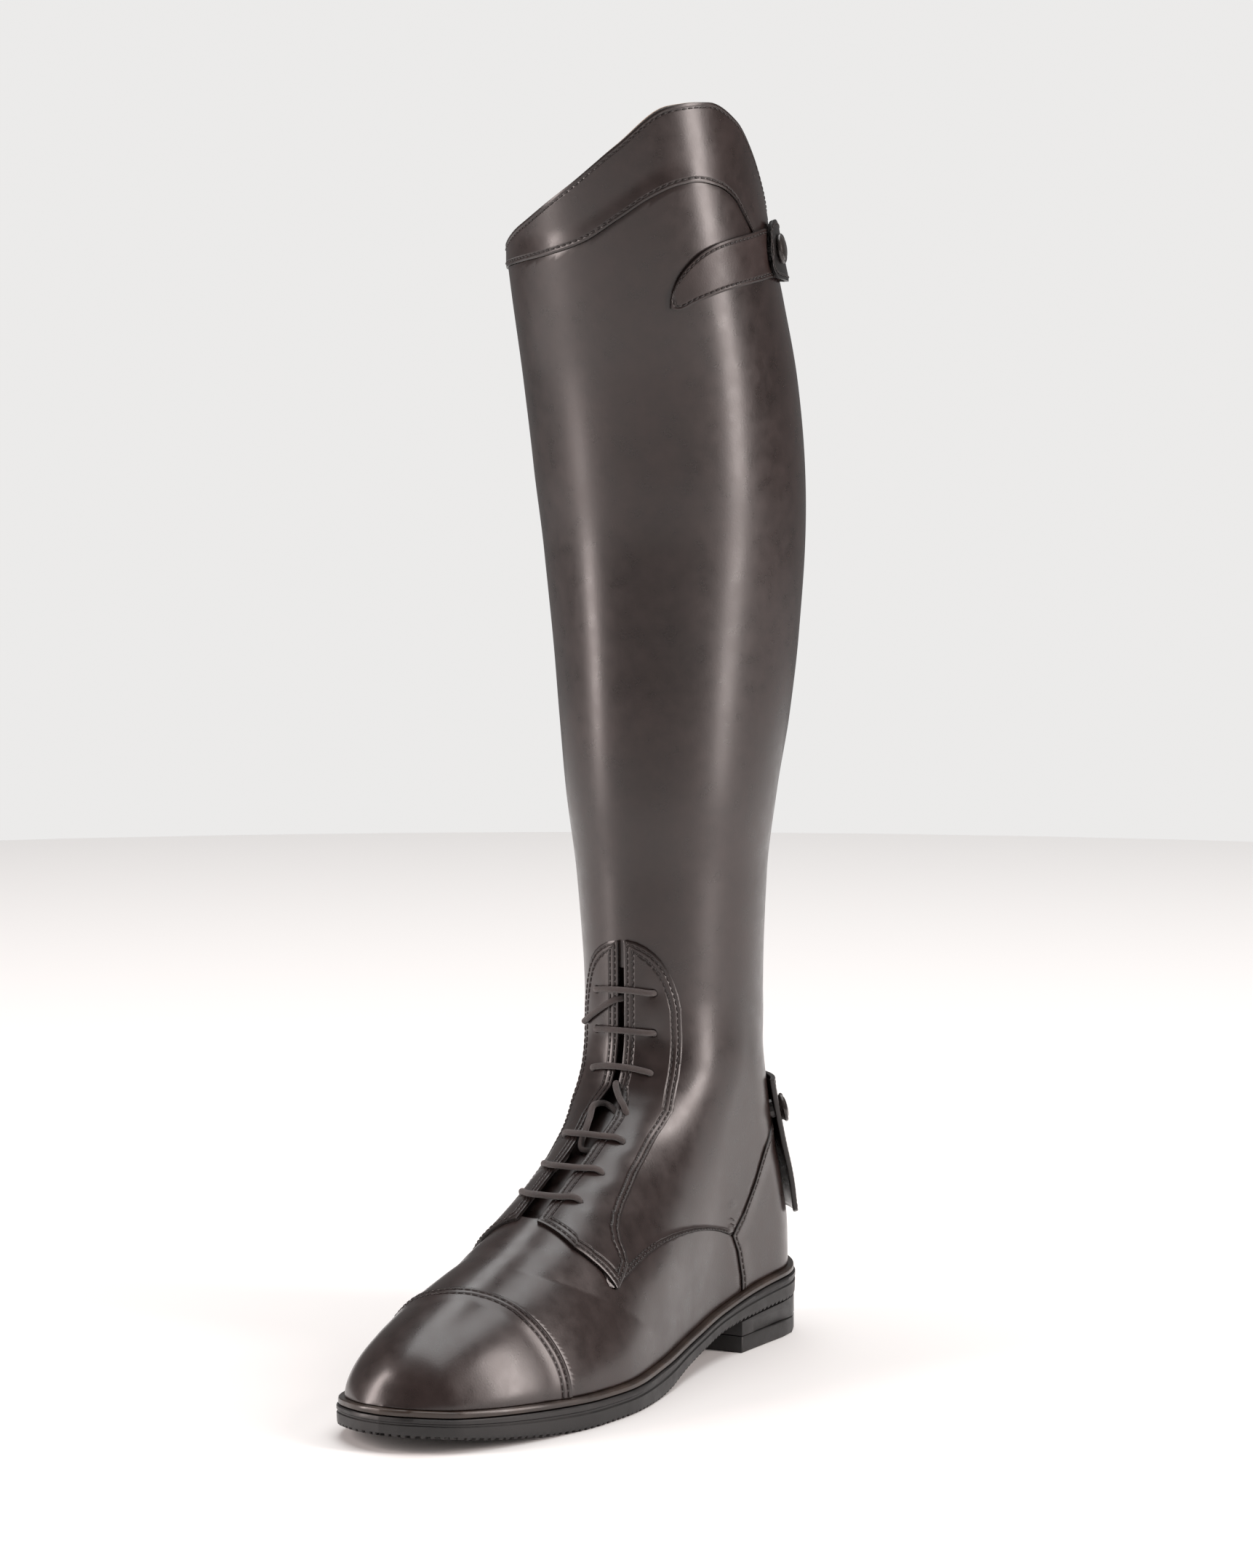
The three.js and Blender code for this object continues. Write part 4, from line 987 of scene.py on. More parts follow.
    def groove(
        self, tree: bpy.types.NodeTree, colour: bpy.types.NodeSocket, normal: bpy.types.NodeSocket,
    ) -> tuple:
        """Presses a groove under each row of stitches, darkens it toward the edge colour as painted shade,
        and darkens the cut edge.

        Args:
            tree: The material's nodes.
            colour: The leather's colour.
            normal: Its grained normal.

        Returns:
            The new colour and normal.
        """
        seam = add_node(tree, "ShaderNodeAttribute", attribute_name="seam").outputs["Fac"]
        depth = None
        for row in self.rows:
            away = add_node(tree, "ShaderNodeMath", {0: seam, 1: row}, operation="SUBTRACT")
            away = add_node(tree, "ShaderNodeMath", {0: away.outputs[0]}, operation="ABSOLUTE")
            dip = add_node(tree, "ShaderNodeMapRange", {
                "Value": away.outputs[0], "From Min": 0.0, "From Max": 0.9},
                clamp=True, interpolation_type="SMOOTHSTEP").outputs[0]
            if depth is not None:
                dip = add_node(tree, "ShaderNodeMath", {0: dip, 1: depth}, operation="MULTIPLY").outputs[0]
            depth = dip
        pressed = add_node(tree, "ShaderNodeBump", {
            "Height": depth, "Strength": 0.9, "Distance": 0.35 * MM, "Normal": normal})
        # Toward each row the colour is drawn to the edge colour: painted shade in the pressed groove
        shade = add_node(tree, "ShaderNodeMapRange", {
            "Value": depth, "To Min": 0.55, "To Max": 1.0}, clamp=True)
        colour = add_node(tree, "ShaderNodeMix", {
            0: shade.outputs[0], 6: srgb(self.edge), 7: colour}, data_type="RGBA").outputs[2]
        rim = add_node(tree, "ShaderNodeMapRange", {
            "Value": seam, "From Min": 0.1, "From Max": 0.7}, clamp=True)
        colour = add_node(tree, "ShaderNodeMix", {
            0: rim.outputs[0], 6: srgb(self.edge), 7: colour}, data_type="RGBA").outputs[2]
        return colour, pressed.outputs[0]


# Full-grain calf, aniline dyed and waxed: a deep brown with a soft gloss. Its pores are 0.3 mm apart
# and would not show, so the grain is drawn at 0.8 mm.
CALF = Finish("calf_aniline_waxed", "1f1614", "2c211f", (0.27, 0.35), Pattern.GRAIN, 0.8, 0.02,
              coat=0.28, rows=(1.7,), edge="17100e")
# The same calf where two rows of stitches hold its edge
CALF_DOUBLE = replace(CALF, name="calf_aniline_waxed_twin_stitched", rows=(1.5, 3.9))
# The tab is cut from a tighter part of the hide and takes the dye a little greyer
TAB_CALF = Finish("calf_tight_grain_tab", "261c1a", "332826", (0.31, 0.4), Pattern.GRAIN, 0.6, 0.03,
                  ior=1.48, coat=0.08, rows=(1.6,), edge="17100e")
# Pigment lies on the grain of the black calf and makes it flatter and more even
BLACK_CALF = Finish("calf_black_pigmented", "0e0c0c", "1c1918", (0.36, 0.46), Pattern.GRAIN, 0.7, 0.035,
                    ior=1.48, coat=0.1, rows=(1.6,), edge="080707")
# Pigskin lining, left unfinished: matt, with a short nap
PIGSKIN = Finish("pigskin_lining_unfinished", "6b5647", "8a7260", (0.78, 0.9), Pattern.NAP, 0.6, 0.05,
                 sheen=0.25)
# Buffed on the flesh side: smoother than the lining, with hardly any nap
FOOTBED = Finish("footbed_leather_buffed", "56463a", "705c4c", (0.6, 0.75), Pattern.NAP, 0.7, 0.04,
                 sheen=0.1)
# Vegetable-tanned strip with its edge inked and burnished: smoother and shinier than the calf
WELT_LEATHER = Finish("welt_leather_edge_inked", "1d1614", "33271f", (0.3, 0.42), Pattern.NAP, 0.5, 0.03,
                      coat=0.25)
# Webbing over rubber cords: matt, with a rib every 3 mm
ELASTIC = Finish("elastic_webbing_ribbed", "1a1514", "2e2624", (0.7, 0.85), Pattern.RIBS, 2.96, 0.22,
                 sheen=0.3)
# Woven tape and braided cord: matt, and a little fibre catches the light at the edges
ZIP_TAPE = Finish("polyester_tape_woven", "1b1513", "2c2320", (0.7, 0.85), Pattern.WEAVE, 60.0, 0.12,
                  sheen=0.2)
LACE_CORD = Finish("elastic_cord_braided", "2b211f", "4a3c38", (0.5, 0.64), Pattern.BRAID, 14.0, 0.12,
                   sheen=0.3)
# Bonded polyester thread, waxed: each stitch is a small shiny bead, darker than the calf
THREAD = Finish("polyester_thread_waxed", "120c0b", "241a18", (0.42, 0.55), Pattern.NAP, 0.4, 0.02)
# Cast brass under an antique plating: dull gold with darker clouds
ZIP_BRASS = Finish("brass_antique_plated", "3c342a", "6a5a45", (0.28, 0.42), Pattern.CAST, 0.6, 0.02,
                   metallic=1.0)
# Pressed brass cap under dark stove enamel: near black with a wet gleam
SNAP_METAL = Finish("brass_dark_enamelled", "1d1917", "332c29", (0.24, 0.34), Pattern.CAST, 0.6, 0.015,
                    metallic=0.35, coat=0.5)
# Hidden goods inside the boot: pressed board, granulated cork, rolled steel
FIBRE_BOARD = Finish("fibre_board_pressed", "7a6249", "94795a", (0.85, 0.95), Pattern.NAP, 1.0, 0.05)
CORK_FILL = Finish("cork_granulated", "6e5234", "a37e52", (0.85, 0.95), Pattern.CORK, 2.2, 0.2)
STEEL = Finish("steel_cold_rolled", "7d7d7b", "9c9c9a", (0.3, 0.42), Pattern.CAST, 0.8, 0.01, metallic=1.0)
# Moulded rubber: deep black with a low satin sheen and fine mould texture
RUBBER = Finish("rubber_sole_moulded", "0d0c0c", "191717", (0.4, 0.52), Pattern.MOULDED, 0.8, 0.04, ior=1.52)

CAD_FINISHES = {
    "fibre_board": FIBRE_BOARD, "cork": CORK_FILL, "spring_steel": STEEL, "nail_steel": STEEL,
    "footbed_leather": FOOTBED, "lining_leather": PIGSKIN, "sole_rubber": RUBBER, "snap_metal": SNAP_METAL,
    "zip_metal": ZIP_BRASS, "calf_leather": CALF, "welt_leather": WELT_LEATHER, "zip_tape": ZIP_TAPE,
    "elastic_fabric": ELASTIC, "black_leather": BLACK_CALF, "tab_leather": TAB_CALF, "lace_cord": LACE_CORD,
}


def dress(piece: bpy.types.Object, finish: Finish, body: str, slot: str, *nodes: str) -> bpy.types.Object:
    """Gives a piece its finish, its body and the CAD nodes that it stands for.

    Args:
        piece: The object.
        finish: Its finish.
        body: The CAD body it moves with.
        slot: The record's material slot; not used.
        *nodes: CAD nodes that it replaces.

    Returns:
        The same object.
    """
    piece.data.materials.clear()
    piece.data.materials.append(finish.material())
    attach(piece, body)
    if nodes:
        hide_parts(*nodes)
    LOG.info("%-22s %7d faces  body %-11s %s", piece.name, len(piece.data.polygons), body, finish.name)
    return piece


# Half a stitch: its length as a share of the pitch, its width and its height, mm
STITCH = (0.42, 0.36, 0.3)


def sew(name: str, lines: Iterable[tuple[Array, Array]], body: str, slot: str, pitch: float = 2.9) -> None:
    """Lays stitches along lines.

    Args:
        name: The piece's name.
        lines: Pairs of points and directions out of the leather, mm.
        body: The body that the leather moves with.
        slot: The record's material slot.
        pitch: From stitch to stitch, mm.
    """
    places, alongs, outs = [], [], []
    for points, normals in lines:
        path, out = spaced(points, pitch, normals)
        if len(path) < 3:
            continue
        middle, out = (path[1:] + path[:-1]) / 2, unit((out[1:] + out[:-1]) / 2)
        places.append(middle + out * 0.05)
        alongs.append(path[1:] - path[:-1])
        outs.append(out)
    if not places:
        return
    deselect()
    bpy.ops.mesh.primitive_uv_sphere_add(segments=6, ring_count=4, radius=1.0)
    bead = bpy.context.object
    bpy.ops.object.mode_set(mode="EDIT")
    bpy.ops.mesh.select_all(action="SELECT")
    bpy.ops.transform.rotate(value=math.pi / 2, orient_axis="Y", center_override=(0, 0, 0))
    bpy.ops.transform.resize(value=(pitch * STITCH[0], *STITCH[1:]), center_override=(0, 0, 0))
    bpy.ops.object.mode_set(mode="OBJECT")
    thread = copies(name, bead, np.concatenate(places), np.concatenate(alongs), np.concatenate(outs))
    dress(thread, THREAD, body, slot)


def finish_sheet(
    sheet: Sheet, finish: Finish, body: str, slot: str, node: str, pitch: float = 2.9,
) -> None:
    """Builds a sheet, dresses it for its CAD node and sews its seams.

    Args:
        sheet: The sheet.
        finish: Its finish.
        body: The CAD body it moves with.
        slot: The record's material slot.
        node: The CAD node that it replaces.
        pitch: From stitch to stitch, mm.
    """
    dress(sheet.build(), finish, body, slot, node)
    sew(f"stitching_{sheet.thread or node}", sheet.stitches, body, slot, pitch)


def rounded_copy(source: bpy.types.Object, name: str, width: float, angle: float) -> bpy.types.Object:
    """Copies a CAD solid and rounds its edges.

    Args:
        source: The CAD node's object.
        name: The new piece's name.
        width: How wide the rounding is, mm.
        angle: The least angle between faces that is rounded, degrees.

    Returns:
        The new object.
    """
    piece = bpy.data.objects.new(name, source.data.copy())
    bpy.context.scene.collection.objects.link(piece)
    piece.matrix_world = source.matrix_world
    weld(piece, 0.005)
    round_edges(piece, width, 2, angle)
    smooth_shading(piece, angle)
    return piece


# ------------------------------------------------------------------ the upper
def angles(first: float, last: float, step: float) -> Array:
    """Returns angles from first to last, about a step apart."""
    return np.linspace(first, last, max(2, int(round((last - first) / step))) + 1)


@dataclass
class Upper:
    """Leg, heel quarter, vamp and toe cap, cut from calf and lapped over each other.

    Attributes:
        lap: How much a lapped edge stands over its neighbour, mm.
        turn: Step between columns of the mesh, degrees.
        step: Step between rows of the mesh, mm.
    """

    lap: float = 0.75
    turn: float = 2.0
    step: float = 2.1

    def cut(self, name: str, region: Callable[[Array], Array], rows: tuple[float, float],
            **settings: object) -> Sheet:
        """Returns a sheet of the boot's skin.

        Args:
            name: The piece's name.
            region: Signed distance inside its outline, for points.
            rows: The first and last row of the skin that it may reach.
            **settings: Further settings of the sheet.
        """
        return Sheet(name, FORM.point, angles(-180, 180, self.turn), FORM.rows(*rows, self.step),
                     region=lambda u, v, p: region(p), normal=FORM.outward, **settings)

    def build(self) -> None:
        """Builds and dresses every outer panel of the boot."""
        rim = Seam(lambda u, v, p: FORM.rim(u) - p[..., 2], (2.0,))
        top = self.cut(
            "calf_top_panel",
            lambda p: np.minimum.reduce([above_top_seam(p) - GLUE / 2, -in_rear_panel(p) - GLUE]), (0, 3),
            seams=(rim, Seam(lambda u, v, p: above_top_seam(p) - GLUE / 2, (1.7,), self.lap)))
        finish_sheet(top, CALF, "boot", "calf_leather", "top_panel")
        leg = self.cut(
            "calf_leg_panel",
            lambda p: np.minimum.reduce([
                LEG_SIDE.inside(p), -above_top_seam(p) - GLUE / 2, -in_rear_panel(p) - GLUE,
                -in_zip_opening(p), -in_lace_opening(p)]), (0, 26),
            seams=(Seam(lambda u, v, p: self.above_vamp(p), CALF_DOUBLE.rows, self.lap),),
            swell=self.creases)
        finish_sheet(leg, CALF_DOUBLE, "boot", "calf_leather", "shaft_leather")
        quarter = self.cut(
            "calf_heel_quarter",
            lambda p: np.minimum(QUARTER_SIDE.inside(p), -in_zip_opening(p)), (8.5, 26),
            seams=(Seam(lambda u, v, p: QUARTER_SIDE.inside(p), (1.7,), self.lap * 0.8),))
        finish_sheet(quarter, CALF, "boot", "calf_leather", "heel_quarter")
        vamp = self.cut(
            "calf_vamp",
            lambda p: np.minimum.reduce([VAMP_SIDE.inside(p), BEHIND_TOE.inside(p), -in_lace_opening(p)]),
            (9, 26), swell=self.creases)
        finish_sheet(vamp, CALF, "boot", "calf_leather", "vamp")
        cap = self.cut(
            "calf_toe_cap", lambda p: np.minimum(VAMP_SIDE.inside(p), TOE_PLAN.inside(p)), (18, 26),
            seams=(Seam(lambda u, v, p: TOE_PLAN.inside(p), CALF_DOUBLE.rows, self.lap),))
        finish_sheet(cap, CALF_DOUBLE, "boot", "calf_leather", "toe_cap")
        for name, side in (("outer", 1.0), ("inner", -1.0)):
            rear = self.cut(
                f"elastic_gusset_{name}",
                lambda p, side=side: np.minimum.reduce([
                    in_rear_panel(p), side * beside_zip(p) - ZIP_HALF]), (0, 7), thickness=1.6, outer=-0.15)
            dress(rear.build(), ELASTIC, "boot", "elastic_fabric", f"elastic_panel_{name}")

    def above_vamp(self, points: Array) -> Array:
        """Returns the distance above the vamp seam, far away behind the heel quarter."""
        line = np.array(VAMP_EDGE)[::-1]
        y, z = points[..., 1], points[..., 2]
        above = z - np.interp(y, line[:, 0], line[:, 1])
        return np.where((y < line[-1, 0]) & (y > line[0, 0] - 1.5), above, CLEAR)

    def creases(self, u: Array, v: Array, points: Array) -> Array:
        """Returns soft folds where the ankle and the ball of the foot bend, mm."""
        y, z = points[..., 1], points[..., 2]
        ankle = np.exp(-(((z - 122.0 + 0.25 * y) / 26.0) ** 2)) * np.clip(np.abs(points[..., 0]) / 30, 0, 1)
        folds = 0.45 * ankle * np.sin((z + 0.5 * y) / 8.5 + 1.2 * np.sin(points[..., 0] / 14.0))
        ball = np.exp(-(((y + 146.0) / 9.0) ** 2)) * np.clip((z - 38.0) / 20.0, 0.0, 1.0)
        return folds + 0.3 * ball * np.sin((y + 146.0) / 4.2 + points[..., 0] / 30.0)


# ------------------------------------------------------------------ lining
@dataclass
class Lining:
    """Pigskin that lines the leg and foot, and the tongue behind the lacing.

    Attributes:
        turn: Step between columns of the mesh, degrees.
        step: Step between rows of the mesh, mm.
    """

    turn: float = 3.0
    step: float = 3.2

    def build(self) -> None:
        """Builds and dresses the linings and the tongue."""
        leg = Sheet(
            "pigskin_leg_lining", FORM.point, angles(-180, 180, self.turn), FORM.rows(0, 21, self.step),
            LINING, LINING_DEPTH, lambda u, v, p: np.minimum.reduce([
                LINING_SIDE.inside(p), -in_lace_opening(p), -in_zip_opening(p)]), normal=FORM.outward)
        dress(leg.build(), PIGSKIN, "boot", "lining_leather", "shaft_lining")
        foot = Sheet(
            "pigskin_foot_lining", FORM.point, angles(-180, 180, self.turn), FORM.rows(8.5, 26, self.step),
            LINING, FOOT_LINING_DEPTH, lambda u, v, p: -LINING_SIDE.inside(p) - 0.5,
            normal=FORM.outward, edge=0.0)
        dress(foot.build(), PIGSKIN, "boot", "lining_leather", "foot_lining")
        tongue = Sheet(
            "calf_tongue", FORM.point, angles(-100, 100, 2.0), FORM.rows(4, 21, 2.0),
            OVERLAY, FOOT_LINING_DEPTH, lambda u, v, p: np.where(
                p[..., 1] < -25.0, np.minimum(TONGUE_FRONT.inside(p), TONGUE_SIDE.inside(p)), -CLEAR),
            normal=FORM.outward)
        dress(tongue.build(), CALF, "boot", "calf_leather", "tongue")


# ------------------------------------------------------------------ lacing
@dataclass
class Lacing:
    """The two facings down the instep and the elastic lace through them.

    Attributes:
        heights: Height of each pair of holes, mm.
        across: How far each hole stands from the middle, mm.
        hole: Radius of a hole, mm.
        cord: Radius of the lace, mm.
        rises: How far the middle of each bar bows up, mm.
        crossing: The bar after which the lace crosses on top of the tongue.
    """

    heights: tuple[float, ...] = (156.0, 139.5, 123.0, 98.0, 88.0, 79.5)
    across: float = 12.5
    hole: float = 1.7
    cord: float = 1.3
    rises: tuple[float, ...] = (1.2, 0.9, 1.6, 0.8, 0.6, 0.4)
    crossing: int = 2

    def __post_init__(self) -> None:
        """Finds the skin that the facings and the lace lie on."""
        rows, columns = FORM.rows(2, 24, 2.0), angles(-110, 110, 1.5)
        v, u = np.meshgrid(rows, columns, indexing="ij")
        points = FORM.point(u, v)
        count = len(columns)
        faces = [(i * count + j, (i + 1) * count + j, (i + 1) * count + j + 1, i * count + j + 1)
                 for i in range(len(rows) - 1) for j in range(count - 1)]
        self.skin = BVHTree.FromPolygons([tuple(point) for point in points.reshape(-1, 3)], faces)
        self.holes = [self.on_front(side * self.across, height, 0.0)
                      for height in self.heights for side in (-1, 1)]

    def on_front(self, x: float, height: float, raised: float) -> Array:
        """Returns the point on the front of the leather at x and a height, raised out of it."""
        place, normal, _, _ = self.skin.ray_cast(Vector((x, -400.0, height)), Vector((0, 1, 0)))
        if normal.y > 0:
            normal = -normal
        return np.array(place + normal * raised)

    def outline(self, side: float, points: Array) -> Array:
        """Returns how far inside one facing's outline each point is."""
        front = Outline([(side * x, z) for x, z in (
            (1.3, 177.5), (6, 176.6), (10, 174.6), (13, 172.2), (15.6, 169), (17.6, 165.3), (19.2, 160.7),
            (20.6, 155), (21.5, 149), (21.9, 137), (22.0, 124), (22.2, 116), (23, 108), (60, 100), (60, 40),
            (5, 40), (4.2, 98), (5.2, 106), (4.2, 111), (1.4, 117))], FRONT)
        toe = Outline([(-120, -116), (-60, -117), (-34, -121.5), (-27, -127), (-21, -130.5), (-12, -131),
                       (12, -131), (21, -130.5), (27, -127), (34, -121.5), (60, -117), (120, -116),
                       (120, FAR), (-120, FAR)], PLAN)
        rear = Outline([
            (-FAR, 200), (0, 200), (0, 113), (-46, 113), (-52, 108.5), (-58.5, 102.5), (-67, 96), (-75, 90),
            (-85, 83), (-94.6, 76.5), (-100.5, 72), (-104.5, 68), (-106.9, 64), (-107.6, 59.5),
            (-109.5, 55.5), (-115, 51.5), (-122, 47), (-FAR, 47)], SIDE)
        inside = np.minimum.reduce([front.inside(points), toe.inside(points), rear.inside(points)])
        return np.where(points[..., 1] < -25.0, inside, -CLEAR)

    def build(self) -> None:
        """Builds and dresses the facings and the lace."""
        for name, side in (("outer", 1.0), ("inner", -1.0)):
            reach = (0.0, 105.0) if side > 0 else (-105.0, 0.0)

            def region(u: Array, v: Array, points: Array, side: float = side) -> Array:
                """Returns how far inside the facing and outside its holes each point is."""
                inside = self.outline(side, points)
                for hole in self.holes:
                    inside = np.minimum(inside, np.linalg.norm(points - hole, axis=-1) - self.hole)
                return inside

            seam = Seam(lambda u, v, p, side=side: self.outline(side, p), (1.5, 3.7), -0.25, 1.6)
            sheet = Sheet(f"calf_facing_{name}", FORM.point, angles(*reach, 0.9), FORM.rows(4.5, 21, 0.95),
                          OVERLAY, GLUE + OVERLAY, region, (seam,), FORM.outward, 0.3,
                          swell=self.dimples)
            finish_sheet(sheet, CALF_DOUBLE, "boot", "calf_leather", f"facing_{name}", 2.6)
        self.lace()

    def dimples(self, u: Array, v: Array, points: Array) -> Array:
        """Returns how far the leather is drawn in round each hole, mm."""
        depth = np.zeros(u.shape)
        for hole in self.holes:
            away = np.linalg.norm(points - hole, axis=-1)
            depth -= 0.35 * np.exp(-((away / 4.0) ** 2))
        return depth

    def stops(self) -> list[tuple[float, float, float]]:
        """Returns the lace's stops: x, height and how far each is raised out of the leather, mm.

        It starts at the free end. It lies in a bar over each pair of holes, runs under the leather
        from pair to pair, and crosses on top of the tongue where the ankle bends.
        """
        over, under = GLUE + OVERLAY + self.cord + 0.1, -self.cord - 0.4
        x = self.across
        stops = [(-19.0, 141.5, over - 0.2), (-14.0, 145.0, over), (-7.0, 149.8, over),
                 (-2.6, 152.6, over - 0.6), (0.0, 153.5, under)]
        ankle = [(0.6, 119.5, under), (1.0, 117.6, over - 0.8), (4.4, 112.6, over), (8.2, 108.6, over),
                 (9.8, 106.8, under), (-3.0, 112.0, under), (-4.6, 109.0, over - 0.6),
                 (-3.2, 104.6, over), (-2.2, 101.2, over - 0.4), (-1.8, 97.0, under)]
        side = -1.0
        for row, (height, rise) in enumerate(zip(self.heights, self.rises)):
            half = [(x + 0.6, height - 0.4, under), (x + 0.1, height, over - 1.6),
                    (x - 2.0, height + 0.3, over), (x - 6.5, height + rise * 0.8, over + 0.1)]
            stops += [(side * reach, up, raised) for reach, up, raised in half]
            stops.append((0.0, height + rise, over + 0.25))
            stops += [(-side * reach, up, raised) for reach, up, raised in reversed(half)]
            if row == self.crossing:
                stops += ankle
            elif row + 1 < len(self.heights):
                stops.append((-side * (x - 4.0), mix(height, self.heights[row + 1], 0.5), under))
            side = -side
        return stops

    def lace(self) -> None:
        """Builds the lace: a bar over each pair of holes, crossed strands at the ankle and one end."""
        step = 0.8
        path = smooth_path(np.array([self.on_front(*stop) for stop in self.stops()]), step)
        piece = grid_piece("elastic_lace", tube_points(path, self.cord, 12))
        for layer in piece.data.uv_layers:
            uv = np.zeros(len(layer.data) * 2)
            layer.data.foreach_get("uv", uv)
            # The map runs once round the cord and on at the same scale along it
            uv[1::2] *= len(path) * step / (2 * math.pi * self.cord)
            layer.data.foreach_set("uv", uv)
        weld(piece, 0.005, outward=True)
        smooth_shading(piece, 60.0)
        dress(piece, LACE_CORD, "boot", "lace_cord", "lace")
        LOG.info("lace path %.0f mm", len(path) * step)


# ------------------------------------------------------------------ closure at the top
def snap_cap(name: str, place: Array, out: Array, radius: float, height: float) -> bpy.types.Object:
    """Turns a snap's cap: a washer set into the leather, a rolled rim, a ring groove and a domed middle.

    Args:
        name: The piece's name.
        place: The middle of its underside, mm.
        out: The direction that it faces.
        radius: Its radius, mm.
        height: Its height, mm.

    Returns:
        The cap.
    """
    profile = np.array([
        (0.0, -1.5), (radius * 0.78, -1.5), (radius * 0.84, -0.5), (radius * 0.985, height * 0.1),
        (radius, height * 0.3),
        (radius * 0.97, height * 0.5), (radius * 0.9, height * 0.62), (radius * 0.82, height * 0.6),
        (radius * 0.78, height * 0.55), (radius * 0.73, height * 0.66), (radius * 0.6, height * 0.84),
        (radius * 0.4, height * 0.95), (radius * 0.2, height * 0.99), (0.0, height)])
    out = unit(out)
    side = unit(np.cross(out, np.array([0.1, 0.2, 1.0])))
    other = np.cross(out, side)
    turns = np.linspace(0, 2 * math.pi, 49)
    ring = np.cos(turns)[:, None] * side + np.sin(turns)[:, None] * other
    points = place + profile[:, 0, None, None] * ring + profile[:, 1, None, None] * out
    piece = grid_piece(name, points)
    weld(piece, 0.005, outward=True)
    smooth_shading(piece, 35.0)
    return piece


